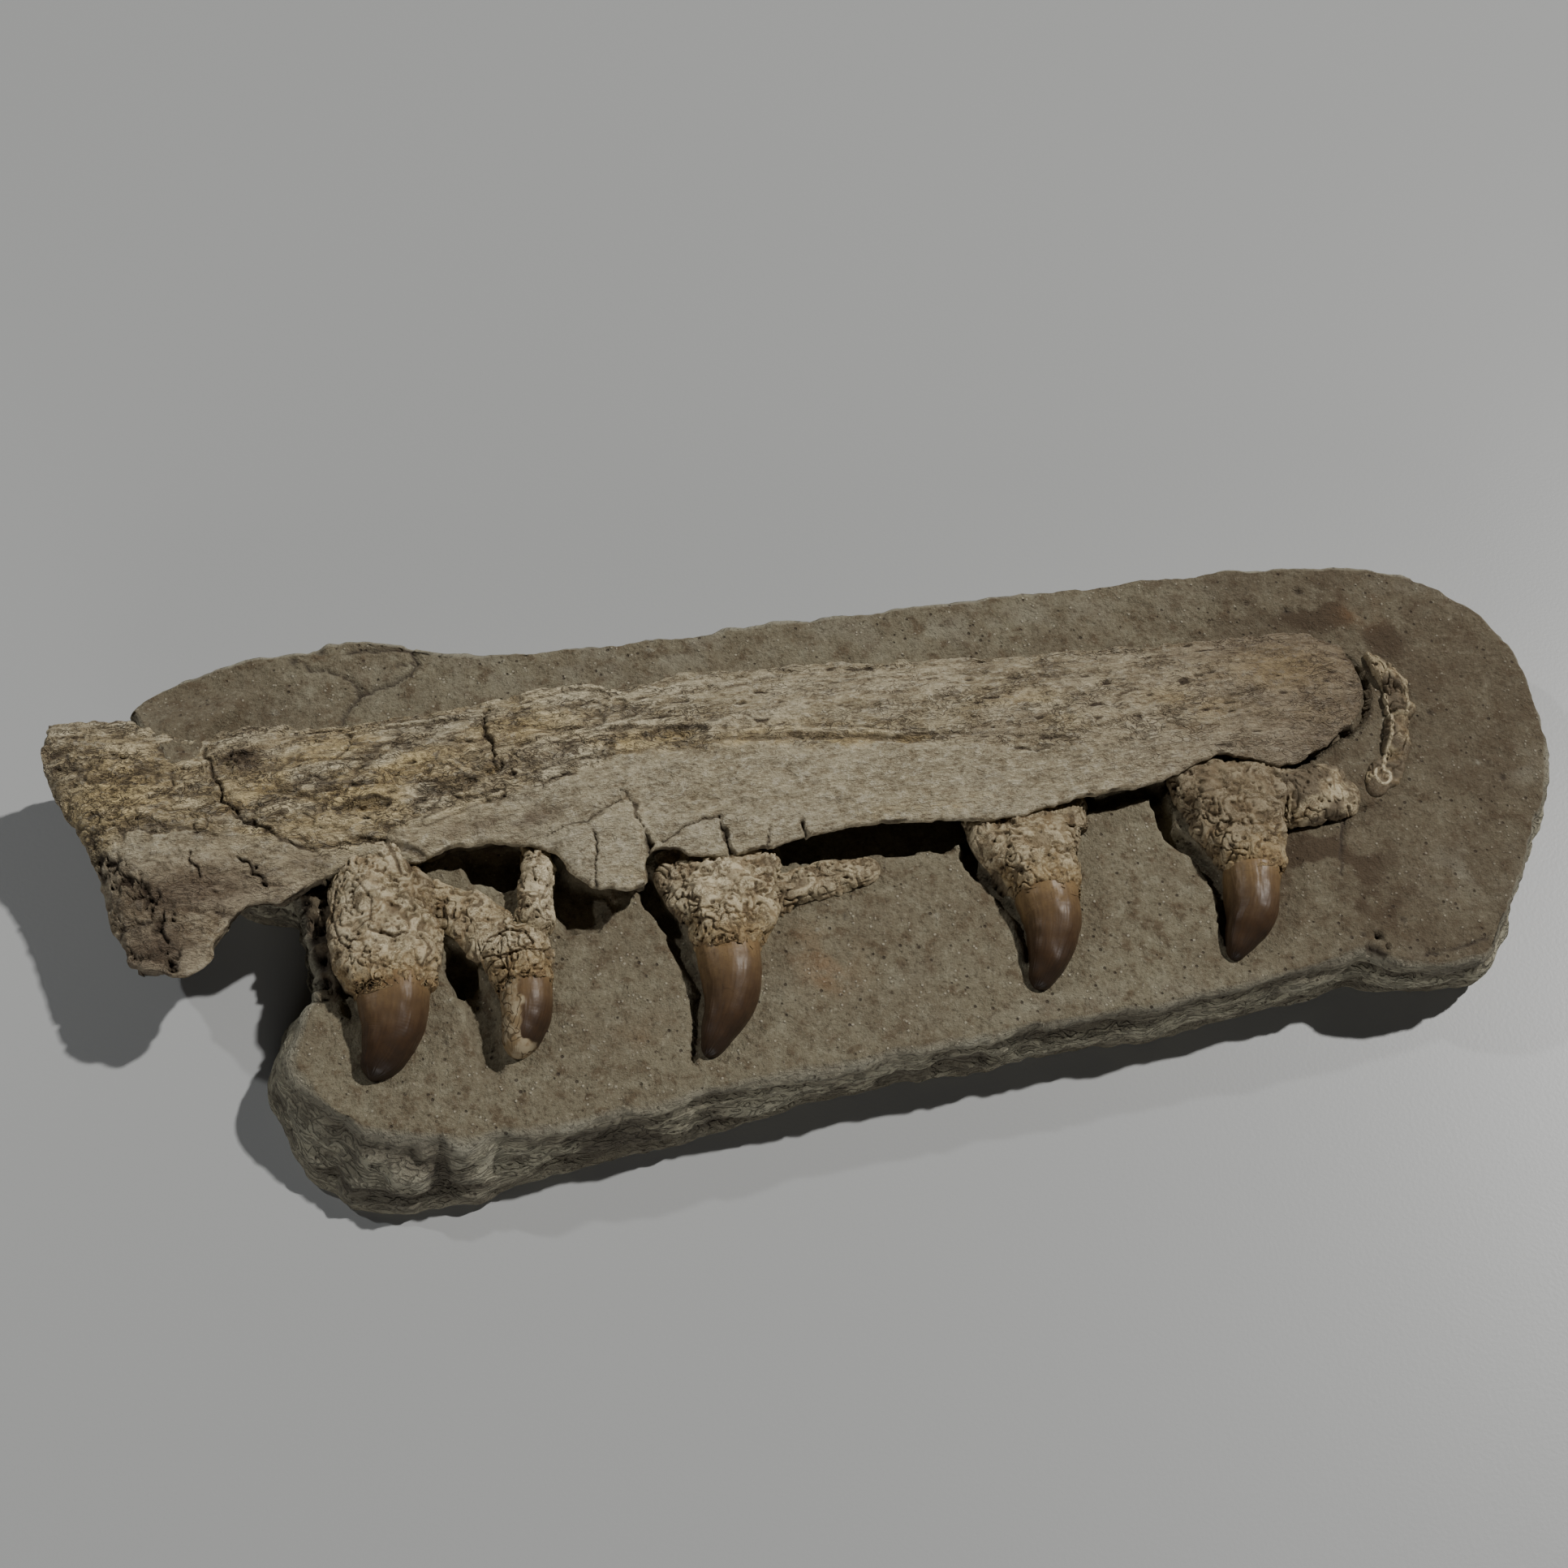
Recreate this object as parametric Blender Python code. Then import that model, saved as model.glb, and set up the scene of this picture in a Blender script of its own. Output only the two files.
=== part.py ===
"""Fossil mosasaur jaw on its slab of matrix, life-size, lying on the slab's flat underside.

Lengths in the tables below are millimetres and become metres through MM. +X runs along the jaw
from its broken rear end to its tip, +Y from the teeth to the jaw's back edge, +Z up. The origin
is at the middle of the whole piece's box, on the floor.
"""
import math

import bmesh
import bpy
import numpy as np

MM = 0.001

# Levels above the floor
SLAB_TOP = 26.0
GAP = 0.3
BED = SLAB_TOP + GAP
ROOM = 0.5
RIM_ROUND = 2.5
FOOT_ROUND = 2.0
# Cutters reach past the surfaces that they cut by this much
PAST = 2.0

# Slab: points of the upper rim, each with how far the foot of the side stands out below it
RIM = [
    (-211, 74, 1), (-207, 82, 1), (-193, 88, 1), (-176, 92, 1), (-158, 93, 1), (-138, 94, 1),
    (-123, 90, 1), (-106, 84, 0), (-86, 82, 0), (-56, 81, 0), (-20, 80, 0), (20, 80, 0),
    (60, 79, 0), (101, 79, 0), (144, 78, 0), (170, 75, 0), (190, 72, 0), (207, 65, 0),
    (220, 54, 0), (228, 42, 0), (232, 30, 0), (233, 12, 0), (231, -5, 0), (226, -18, 0),
    (217, -33, 0), (207, -50, 0), (199, -61, 0), (190, -71, -1), (180, -75, -3), (167, -74, -3),
    (158, -71, -2), (151, -67, 0), (141, -69, 0), (104, -73, 0), (69, -75, 0), (42, -76, 0),
    (14, -77, 0), (-12, -78, 1), (-33, -79, 2), (-53, -80, 4), (-68, -82, 4), (-86, -84, 4),
    (-103, -84, 6), (-117, -83, 9), (-129, -81, 13), (-140, -78, 16), (-148, -74, 16),
    (-155, -69, 14), (-161, -61, 12), (-165, -52, 12), (-164, -43, 12), (-160, -35, 9),
    (-157, -27, 4), (-160, -14, 2), (-161, -2, 1), (-165, 4, 1), (-177, 7, 1), (-188, 18, 1),
    (-196, 36, 1), (-200, 52, 1),
]
# Side of the slab: level, share of the foot's spread, extra reach outward
SIDE = [
    (0.0, 1.0, -FOOT_ROUND), (FOOT_ROUND, 1.0, 0.0), (9.0, 0.8, 0.4), (16.0, 0.45, 0.5),
    (SLAB_TOP - RIM_ROUND, 0.08, 0.0), (SLAB_TOP, 0.0, -RIM_ROUND),
]
ROCK_SEED = 11
ROCK_ROUGHNESS = 0.7
ROCK_LIMIT = 1.5

# Hollows dug into the slab's top: outline, then depth
HOLLOWS = {
    "below_tooth_gap": ([(-110, 8), (-109, 0), (-99, -5), (-92, -3), (-91, 8)], 9.0),
    "beside_tooth_2": ([(-117, -19), (-120, -28), (-116, -36), (-111, -37), (-110, -26)], 8.0),
    "before_tooth_3": (
        [(-84, 4), (-79, -4), (-68, -10), (-67, -16), (-73, -23), (-82, -22), (-86, -12)], 9.0,
    ),
    "long_slot": (
        [(-14, 6), (-15, -9), (12, -11), (41, -13), (60, -5), (84, -2), (84, 5), (46, 4)], 9.0,
    ),
}
HOLLOW_NARROWING = 0.8
HOLLOW_LIP = 1.0
# Trenches dug beside the teeth and the jaw: middle line with half width and depth
TRENCHES = {
    "left_of_tooth_1": [(-153, 2, 3.5, 6), (-153, -12, 4, 7), (-150, -26, 4, 6), (-147, -38, 2.5, 4)],
    "left_of_tooth_2": [(-112, -30, 3, 6), (-108, -40, 3.2, 6.5), (-108, -50, 3.4, 6), (-108, -60, 3, 4.5)],
    "left_of_tooth_3": [
        (-57, -8, 4, 5), (-53, -20, 4, 6), (-49, -31, 3.4, 6), (-46.5, -42, 2.6, 5), (-47, -54, 2.6, 4.5),
        (-50, -68, 2.6, 4),
    ],
    "left_of_tooth_4": [
        (42, -10, 3, 5), (42.5, -19, 3, 5.5), (47, -27.5, 2.6, 5), (52, -38, 2, 3.5), (52, -52, 1.6, 2),
    ],
    "left_of_tooth_5": [
        (103, -2, 3, 6), (104, -16, 3.2, 6.5), (109, -24, 3, 6), (114, -38, 2.4, 4.5), (112, -56, 2, 3),
    ],
    "under_jaw_right": [
        (82, -4, 2.2, 6), (94, -3, 2.6, 6), (104, -1, 2.6, 6), (118, 1, 2, 4), (136, 0, 2, 4),
        (152, 2, 2, 4), (168, 11, 2, 5),
    ],
    "tip_gap": [(167, 8, 1.6, 3), (176, 16, 1.4, 3), (178.5, 26, 1.3, 3), (176, 36, 1.0, 2)],
}
TRENCH_NARROWING = 0.6
# Shoulder of matrix that laps the bone's back edge: centre line with half width and height
SHOULDER = [
    (-208, 71, 4, 1.5), (-201, 66, 8, 9), (-193, 61.5, 9.5, 9), (-184, 66, 8, 9), (-177, 70, 4, 1.5),
]
SHOULDER_ROOT = SLAB_TOP - 3.0

# Jaw bone: its back edge and front edge seen from above
BACK_EDGE = [
    (-234, 63), (-232, 71.5), (-218, 69.5), (-207, 66), (-203, 54), (-192, 50), (-186, 56), (-175, 61),
    (-142, 57), (-101, 58), (-70, 61), (-56, 57), (-34, 59), (0, 57), (36, 53), (95, 48), (157, 46),
    (165, 44), (171, 40), (175, 34), (176, 24),
]
FRONT_EDGE = [
    (-234, 52), (-229, 40), (-224, 31), (-218, 15), (-213, -3), (-209, -15), (-202, -19), (-192, -21),
    (-186, -17), (-181, -9), (-174, -2), (-163, -2), (-154, 4), (-140, 6), (-125, 5), (-107, 8),
    (-92, 5), (-83, 2), (-77, -7), (-73, -11), (-66, -14), (-57, -14), (-54, -4), (-43, -6),
    (-30, -9), (-15, -7), (0, -5), (24, -6), (56, -8), (85, -5), (108, -2), (118, 2), (127, 2),
    (143, -3), (156, 2), (167, 9), (173, 15), (176, 24),
]
# Height of the bone above the floor along it, at the back edge, the crest and the front edge
BACK_HEIGHT = [(-234, 35), (-205, 35), (-140, 33), (0, 33), (120, 32), (176, 30)]
CREST_HEIGHT = [
    (-234, 38), (-205, 41), (-120, 41), (-40, 41.5), (60, 40), (140, 38), (168, 35), (176, 31),
]
LIP_HEIGHT = [(-234, 34), (-210, 32), (-150, 34), (-60, 35), (40, 35.5), (120, 34.5), (176, 30)]
# How far back under the front lip the matrix is dug out
UNDERCUT = [(-234, 1), (-125, 1), (-85, 2), (-60, 5), (0, 9), (80, 8), (140, 5), (170, 2), (176, 1)]
# Underside of the end that overhangs the slab
UNDERSIDE = [(-234, 20), (-231, 15), (-212, 14), (-210.5, BED), (176, BED)]
# Cross-section: where its shares of the width fall, and how its front side steps back under the lip
SHOULDER_PLACE = 0.05
CREST_PLACE = 0.42
LIP_PLACE = 0.96
FRONT_POWER = 1.8
LIP_ROLL = 0.8
LIP_DEPTH = 3.5
LIP_BACK = 0.15
THROAT_BACK = 0.75
THROAT_LEVEL = 0.4
MOST_UNDERCUT = 0.45
BACK_FACETS = 6
FRONT_FACETS = 7
BONE_STEP = 3.0
LEAST_STEP = 1.2
TIP_INSET = 0.6
# Smooth plate along the front of the bone: its upper boundary, how high it stands and its slope's half width
PLATE_EDGE = [
    (-234, 8), (-205, 9), (-186, 10), (-160, 2), (-135, 12), (-120, 17.5), (-96, 19), (-75, 22),
    (-60, 27), (-35, 26), (0, 23), (40, 17), (73, 12), (110, 9), (140, 8), (176, 8),
]
PLATE_STEP = 0.6
PLATE_SLOPE = 0.6
PLATE_INSET = 0.08
# Long grooves in the bone's top: middle line with half width and depth
GROOVES = [
    [(-120, 27, 1.6, 0.9), (-112, 26, 2.6, 1.4), (-103, 26.5, 2.8, 1.4), (-97, 25.5, 1.8, 1.0)],
    [(-30, 29, 1.0, 0.6), (-18, 26.8, 1.3, 0.9), (0, 25.2, 1.2, 0.9), (29, 19.6, 1, 0.5)],
    [(-98, 47, 1.2, 0.7), (-79, 41.5, 1.3, 0.9), (-56, 38.5, 1.3, 0.8), (-44, 36, 1.2, 0.5)],
    [(-142, 51, 1.0, 0.8), (-117, 53.5, 1.2, 0.9), (-101, 52.5, 1.0, 0.7)],
    [(-150, 45.5, 1.0, 0.6), (-130, 46, 1.2, 0.9), (-122, 51, 1.1, 0.8), (-112, 51, 0.9, 0.6)],
]
# Old fracture that parts the rear end from the main bone
FRACTURE = [(-186, 80), (-182, 49), (-177, 28), (-171, 20), (-162, 12), (-151, 3), (-149, -40)]

# Nerve openings in the bone's outer face: middle, half length along X, half width, depth
FORAMINA = [
    ((-139.0, 23.5), 7.0, 3.2, 2.8), ((-41.5, 33.0), 11.0, 3.2, 2.8), ((31.0, 20.5), 6.0, 1.6, 1.4),
    ((-98.5, 29.5), 4.0, 3.6, 1.8),
]

# Teeth: the crown's centre line from its base to its tip, each with the half width there
CROWNS = {
    1: [(-134, -36, 10.5), (-134.5, -42, 9.8), (-135.5, -48, 8.6), (-138, -53, 6.9), (-140.3, -57, 5.0),
        (-142.2, -60.3, 2.2)],
    2: [(-95, -41, 8.0), (-95.5, -46, 7.6), (-97, -52, 6.4), (-99, -56.5, 5.0), (-100.5, -60, 2.8)],
    3: [(-35.5, -39, 9.3), (-35.5, -45, 8.9), (-37, -51.5, 7.8), (-39.5, -57.5, 6.2), (-43, -63.5, 4.4),
        (-46.5, -68.5, 1.8)],
    4: [(61.5, -36, 9.3), (61.5, -41, 8.4), (60, -47.5, 7.5), (57.3, -54, 6.0), (54, -59.3, 3.9),
        (51.8, -62.4, 1.8)],
    5: [(124, -38, 8.2), (122.5, -43.5, 8.0), (120.5, -49, 7.2), (117, -54, 5.7), (113.6, -59, 3.8),
        (110.8, -62.5, 1.7)],
}
# Roots: centre line from just above the crown up to the bone, with half width and height
ROOTS = {
    1: [(-134, -34, 11.5, 12.7), (-134.5, -26, 15.5, 12.6), (-135, -14, 17.5, 12.0), (-135.5, -2, 16.5, 11.2),
        (-136, 12, 14, 10.0)],
    2: [(-95.5, -39, 8.8, 9.8), (-96.5, -33, 9.5, 10.0), (-97, -26, 9.5, 9.2), (-98, -20, 7.5, 6.0)],
    3: [(-35, -37, 9.8, 11.3), (-34, -31, 11.5, 11.3), (-33.5, -24, 14.5, 10.6), (-34, -15, 17.5, 9.0),
        (-35, -8.5, 18, 5.5)],
    4: [(62, -34, 9.8, 11.3), (62, -28, 11.5, 11.2), (60, -20, 14, 10.4), (60, -13, 17, 8.8),
        (61, -8, 19, 5.5)],
    5: [(124.5, -36, 8.8, 10.1), (125, -29, 11, 10.6), (125, -20, 14, 10.2), (125, -10, 17.5, 9.0),
        (126, 0, 18.5, 5.5)],
}
CROWN_HEIGHT = 1.15
# Dome of a section: share of its height at the foot, sharpness, and the flat's share of the width
DOME_FOOT = 0.12
DOME_POWER = 0.8
DOME_TUCK = 0.94
CROWN_FACETS = 18
ROOT_FACETS = 18

# Smaller bones between the teeth: centre line with half width and height
SMALL_BONES = {
    "tooth_1_bridge": [(-118, -8, 7, 4.5), (-111, -13, 8, 6), (-104, -19, 8, 6), (-99, -26, 7, 4)],
    "tooth_2_strut": [(-88, 8, 4.5, 6), (-88.5, -2, 4.2, 8), (-89.5, -10, 5, 8.5), (-91, -17, 7, 9),
                      (-92, -24, 8, 7)],
    "tooth_3_shelf": [(-24, -22, 7, 4), (-14, -18, 6, 5), (-4, -18, 5, 5), (6, -17, 4.5, 4.5),
                      (14, -16, 4, 2.5)],
    "tooth_5_block": [(136, -12, 9, 5), (144, -12, 10, 7), (153, -12, 9.5, 7), (160, -13, 8, 6),
                      (163, -13, 6, 3)],
    "tip_fragment": [(182, 36, 2, 2), (186, 31, 4, 4), (188, 22, 5, 4), (187, 10, 5, 4), (183, 0, 5, 4),
                     (176, -8, 4, 4), (171, -14, 2, 2)],
}
SMALL_BONE_FACETS = 12
# Edges that turn by more than this stay sharp
SHARP_ANGLE = math.radians(35)

# Colour and roughness of each kind of sub-part
COLOURS = {
    "matrix": ((0.20, 0.17, 0.12), 0.95),
    "bone": ((0.24, 0.19, 0.13), 0.85),
    "root": ((0.32, 0.26, 0.19), 0.9),
    "enamel": ((0.09, 0.055, 0.03), 0.35),
}


def clear_scene():
    for thing in list(bpy.data.objects):
        bpy.data.objects.remove(thing, do_unlink=True)


def make_material(name):
    colour, roughness = COLOURS[name.split(".")[0]]
    material = bpy.data.materials.new(name)
    material.use_nodes = True
    shader = material.node_tree.nodes["Principled BSDF"]
    shader.inputs["Base Color"].default_value = (*colour, 1.0)
    shader.inputs["Roughness"].default_value = roughness
    shader.inputs["Metallic"].default_value = 0.0
    return material


def collection(name):
    group = bpy.data.collections.new(name)
    bpy.context.scene.collection.children.link(group)
    return group


def table(rows, x):
    """Straight-line reading of a two-column table at x."""
    rows = np.array(rows, dtype=float)
    return np.interp(x, rows[:, 0], rows[:, 1])


def smooth_path(rows, steps, closed=False):
    """Catmull-Rom curve through the rows, with steps points a span."""
    rows = np.array(rows, dtype=float)
    if closed:
        before, after, after_2 = (np.roll(rows, shift, axis=0) for shift in (1, -1, -2))
    else:
        padded = np.vstack([2 * rows[0] - rows[1], rows, 2 * rows[-1] - rows[-2]])
        before, rows, after, after_2 = padded[:-3], padded[1:-2], padded[2:-1], padded[3:]
    points = []
    for a, b, c, d in zip(before, rows, after, after_2):
        for t in np.arange(steps) / steps:
            square = (2 * a - 5 * b + 4 * c - d) * t**2
            cube = (3 * b - a - 3 * c + d) * t**3
            points.append(0.5 * (2 * b + (c - a) * t + square + cube))
    if not closed:
        points.append(padded[-2])
    return np.array(points)


def loft(name, rings):
    """A closed solid through rings of equal count, in millimetres, with flat ends."""
    mesh = bmesh.new()
    layers = [[mesh.verts.new([value * MM for value in point]) for point in ring] for ring in rings]
    count = len(layers[0])
    for lower, upper in zip(layers, layers[1:]):
        for i in range(count):
            j = (i + 1) % count
            mesh.faces.new((lower[i], lower[j], upper[j], upper[i]))
    mesh.faces.new(layers[0][::-1])
    mesh.faces.new(layers[-1])
    bmesh.ops.triangulate(mesh, faces=mesh.faces[:])
    bmesh.ops.recalc_face_normals(mesh, faces=mesh.faces[:])
    data = bpy.data.meshes.new(name)
    mesh.to_mesh(data)
    mesh.free()
    return bpy.data.objects.new(name, data)


def keep_largest_surface(thing):
    """Drops every closed surface of a mesh but the largest."""
    mesh = bmesh.new()
    mesh.from_mesh(thing.data)
    unseen = set(mesh.verts)
    islands = []
    while unseen:
        stack = [unseen.pop()]
        island = set(stack)
        while stack:
            for edge in stack.pop().link_edges:
                for vert in edge.verts:
                    if vert in unseen:
                        unseen.discard(vert)
                        island.add(vert)
                        stack.append(vert)
        islands.append(island)
    largest = max(islands, key=len)
    scraps = [vert for vert in mesh.verts if vert not in largest]
    bmesh.ops.delete(mesh, geom=scraps, context="VERTS")
    mesh.to_mesh(thing.data)
    mesh.free()


def combine(thing, tools, operation, solver="EXACT"):
    """Applies one Boolean per tool to thing and removes the tools."""
    for tool in tools:
        modifier = thing.modifiers.new(operation.title(), "BOOLEAN")
        modifier.operation = operation
        modifier.solver = solver
        modifier.object = tool
        bpy.context.view_layer.update()
        evaluated = thing.evaluated_get(bpy.context.evaluated_depsgraph_get())
        data = bpy.data.meshes.new_from_object(evaluated)
        thing.modifiers.clear()
        thing.data = data
    for tool in tools:
        bpy.data.objects.remove(tool, do_unlink=True)
    keep_largest_surface(thing)


def set_down(thing, group):
    group.objects.link(thing)
    return thing


def as_tool(thing, group):
    """Marks thing as a cutter, which is no part of the model."""
    set_down(thing, group)
    thing.hide_render = True
    thing.display_type = "WIRE"
    return thing


def room_around(thing, group):
    """Turns thing into a cutter, each of its points moved out along its normal."""
    mesh = bmesh.new()
    mesh.from_mesh(thing.data)
    mesh.normal_update()
    for vert in mesh.verts:
        vert.co += vert.normal * ROOM * MM
    mesh.to_mesh(thing.data)
    mesh.free()
    return as_tool(thing, group)


def hollow_cutter(name, outline, depth):
    """A cutter for a hollow: its outline at the mouth, narrowed towards its floor."""
    mouth = smooth_path(outline, 3, closed=True)
    centre = mouth.mean(axis=0)
    floor = centre + (mouth - centre) * HOLLOW_NARROWING
    shape = [(floor, SLAB_TOP - depth), (mouth, SLAB_TOP - HOLLOW_LIP), (mouth, SLAB_TOP + PAST)]
    return loft(name, [[(x, y, height) for x, y in ring] for ring, height in shape])


def trench_cutter(name, rows):
    """A cutter for a trench: sections across its middle line, narrower at the floor."""
    path = smooth_path(rows, 2)
    direction = np.gradient(path[:, :2], axis=0)
    direction /= np.linalg.norm(direction, axis=1)[:, None]
    rings = []
    for (x, y, half, depth), (dx, dy) in zip(path, direction):
        ring = []
        corners = [(half, PAST), (half, 0.0), (half * TRENCH_NARROWING, -depth)]
        corners += [(-across, rise) for across, rise in reversed(corners)]
        for across, rise in corners:
            ring.append((x - dy * across, y + dx * across, SLAB_TOP + rise))
        rings.append(ring)
    return loft(name, rings)


def shoulder():
    """The shoulder of matrix over the bone's back edge, its foot sunk into the slab."""
    rings = []
    for ring in dome_sections(SHOULDER, SMALL_BONE_FACETS):
        rings.append([(x, y, z if z > BED else SHOULDER_ROOT) for x, y, z in ring])
    return loft("shoulder", rings)


def slab(tools):
    """The matrix slab: rings from the flat underside to the rim, then hollows and trenches cut out."""
    path = smooth_path(RIM, 2, closed=True)
    rim, spread = path[:, :2], path[:, 2]
    along = np.roll(rim, -1, axis=0) - np.roll(rim, 1, axis=0)
    outward = np.column_stack([along[:, 1], -along[:, 0]])
    outward /= np.linalg.norm(outward, axis=1)[:, None]
    area = np.sum(rim[:, 0] * np.roll(rim[:, 1], -1) - np.roll(rim[:, 0], -1) * rim[:, 1])
    outward *= math.copysign(1.0, area)
    random = np.random.default_rng(ROCK_SEED)
    rings = []
    for height, share, reach in SIDE:
        rough = np.zeros(len(rim))
        if 0.0 < height < SLAB_TOP:
            rough = np.clip(random.normal(0.0, ROCK_ROUGHNESS, len(rim)), -ROCK_LIMIT, ROCK_LIMIT)
        place = rim + outward * (spread * share + reach + rough)[:, None]
        rings.append([(x, y, height) for x, y in place])
    body = set_down(loft("matrix_slab", rings), tools)
    combine(body, [as_tool(shoulder(), tools)], "UNION", solver="MANIFOLD")
    cutters = [hollow_cutter(name, outline, depth) for name, (outline, depth) in HOLLOWS.items()]
    cutters += [trench_cutter(name, rows) for name, rows in TRENCHES.items()]
    combine(body, [as_tool(cutter, tools) for cutter in cutters], "DIFFERENCE")
    combine(body, [room_around(whole_bone("bone_room"), tools)], "DIFFERENCE")
    return body


def bone_height(x, y):
    """Height of the bone's top: a quarter sine up to the crest, then a power of the way down to the lip."""
    back, front = table(BACK_EDGE, x), table(FRONT_EDGE, x)
    rear, crest, lip = table(BACK_HEIGHT, x), table(CREST_HEIGHT, x), table(LIP_HEIGHT, x)
    share = (back - y) / (back - front)
    if share < CREST_PLACE:
        rise = max(share - SHOULDER_PLACE, 0.0) / (CREST_PLACE - SHOULDER_PLACE)
        return rear + (crest - rear) * math.sin(rise * math.pi / 2)
    fall = (share - CREST_PLACE) / (LIP_PLACE - CREST_PLACE)
    return crest - (crest - lip) * fall**FRONT_POWER


def bone_section(x):
    """Cross-section of the jaw bone at x: domed top with its plate, front lip, undercut and underside."""
    back, front = table(BACK_EDGE, x), table(FRONT_EDGE, x)
    rear, lip, foot = table(BACK_HEIGHT, x), table(LIP_HEIGHT, x), table(UNDERSIDE, x)
    wide = back - front
    under = min(table(UNDERCUT, x), MOST_UNDERCUT * wide)
    shares = list(np.linspace(SHOULDER_PLACE, CREST_PLACE, BACK_FACETS + 1)[:-1])
    shares += list(np.linspace(CREST_PLACE, LIP_PLACE, FRONT_FACETS + 1)[:-1])
    plate = min(max(table(PLATE_EDGE, x), front + PLATE_INSET * wide), back - PLATE_INSET * wide)
    places = [back - share * wide for share in shares] + [plate + PLATE_SLOPE, plate - PLATE_SLOPE]
    ring = [(back, foot), (back, 0.5 * (foot + rear))]
    for y in sorted(places, reverse=True):
        ring.append((y, bone_height(x, y) + (PLATE_STEP if y < plate else 0.0)))
    ring.append((front, lip - LIP_ROLL))
    ring.append((front + LIP_BACK * under, lip - LIP_DEPTH))
    ring.append((front + THROAT_BACK * under, foot + THROAT_LEVEL * (lip - foot) - 1.0))
    ring.append((front + under, foot))
    return [(x, y, z) for y, z in ring]


def whole_bone(name):
    """The jaw bone before its fracture, lofted along X through its sections."""
    first, last = FRONT_EDGE[0][0], FRONT_EDGE[-1][0]
    stations = set(np.round(np.arange(first, last - 1.0, BONE_STEP), 2))
    stations |= {float(x) for x, _ in FRONT_EDGE[:-1]} | {x for x, _ in UNDERSIDE[:-1]}
    stations = sorted(stations)
    kept = [stations[0]]
    for x in stations[1:]:
        if x - kept[-1] > LEAST_STEP or x in (UNDERSIDE[2][0], UNDERSIDE[3][0]):
            kept.append(x)
    kept.append(last - TIP_INSET)
    return loft(name, [bone_section(x) for x in kept])


def fracture_side(name, shift):
    """A block with the fracture as its wall, covering the broken rear end."""
    wall = [(x + shift, y) for x, y in FRACTURE]
    far = BACK_EDGE[0][0] - 10 * PAST
    outline = wall + [(far, FRACTURE[-1][1]), (far, FRACTURE[0][1])]
    top = max(height for _, height in CREST_HEIGHT) + PAST
    return loft(name, [[(x, y, z) for x, y in outline] for z in (-PAST, top)])


def foramen_cutter(number, place, half_length, half_width, depth):
    """An egg-shaped cutter lying along the bone, sunk into its surface by depth."""
    data = bpy.data.meshes.new(f"foramen_{number}")
    mesh = bmesh.new()
    bmesh.ops.create_uvsphere(mesh, u_segments=16, v_segments=10, radius=1.0)
    x, y = place
    surface = bone_height(x, y)
    for vert in mesh.verts:
        vert.co.x = (x + vert.co.x * half_length) * MM
        vert.co.y = (y + vert.co.y * half_width) * MM
        vert.co.z = (surface + vert.co.z * depth) * MM
    mesh.to_mesh(data)
    mesh.free()
    return bpy.data.objects.new(data.name, data)


def groove_cutter(number, rows):
    """A cutter for a groove: V sections across its middle line, sunk into the bone's top by depth."""
    path = smooth_path(rows, 2)
    rings = []
    for x, y, half, depth in path:
        surface = bone_height(x, y)
        ring = [(x, y + half * PAST, surface + depth), (x, y - half * PAST, surface + depth)]
        rings.append(ring + [(x, y, surface - depth)])
    return loft(f"groove_{number}", rings)


def jaw_bones(tools):
    """The rear end and the main bone, parted by a thin cut along the old fracture."""
    rear = set_down(whole_bone("dentary_rear_end"), tools)
    combine(rear, [as_tool(fracture_side("rear_keep", 0.0), tools)], "INTERSECT")
    main = set_down(whole_bone("dentary"), tools)
    cutters = [fracture_side("rear_cut", GAP * 1.3)]
    cutters += [foramen_cutter(number, *sizes) for number, sizes in enumerate(FORAMINA, 1)]
    cutters += [groove_cutter(number, rows) for number, rows in enumerate(GROOVES, 1)]
    combine(main, [as_tool(cutter, tools) for cutter in cutters], "DIFFERENCE")
    return rear, main


def dome_sections(rows, facets):
    """Rings across a centre line of (x, y, half width, height), flat below and domed above."""
    path = smooth_path(rows, 2)
    direction = np.gradient(path[:, :2], axis=0)
    direction /= np.linalg.norm(direction, axis=1)[:, None]
    rings = []
    for (x, y, half, height), (dx, dy) in zip(path, direction):
        ring = []
        for i in range(facets - 2):
            angle = math.pi * i / (facets - 3)
            across = half * math.cos(angle)
            rise = DOME_FOOT + (1.0 - DOME_FOOT) * max(math.sin(angle), 0.0) ** DOME_POWER
            ring.append((x - dy * across, y + dx * across, BED + height * rise))
        for side in (-DOME_TUCK, DOME_TUCK):
            ring.append((x - dy * half * side, y + dx * half * side, BED))
        rings.append(ring)
    return rings


def root(number, name):
    return loft(name, dome_sections(ROOTS[number], ROOT_FACETS))


def crown(number, name):
    rows = [(x, y, half, half * CROWN_HEIGHT) for x, y, half in CROWNS[number]]
    return loft(name, dome_sections(rows, CROWN_FACETS))


def small_bone(key, name):
    return loft(name, dome_sections(SMALL_BONES[key], SMALL_BONE_FACETS))


def teeth(tools):
    """Each tooth's crown and the root it stands on, the root cut clear of the jaw bone."""
    made = []
    for number in CROWNS:
        stem = set_down(root(number, f"tooth_{number}_root"), tools)
        combine(stem, [room_around(whole_bone("bone_room"), tools)], "DIFFERENCE")
        made.append((stem, "root"))
        made.append((set_down(crown(number, f"tooth_{number}_crown"), tools), "enamel"))
    return made


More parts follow.
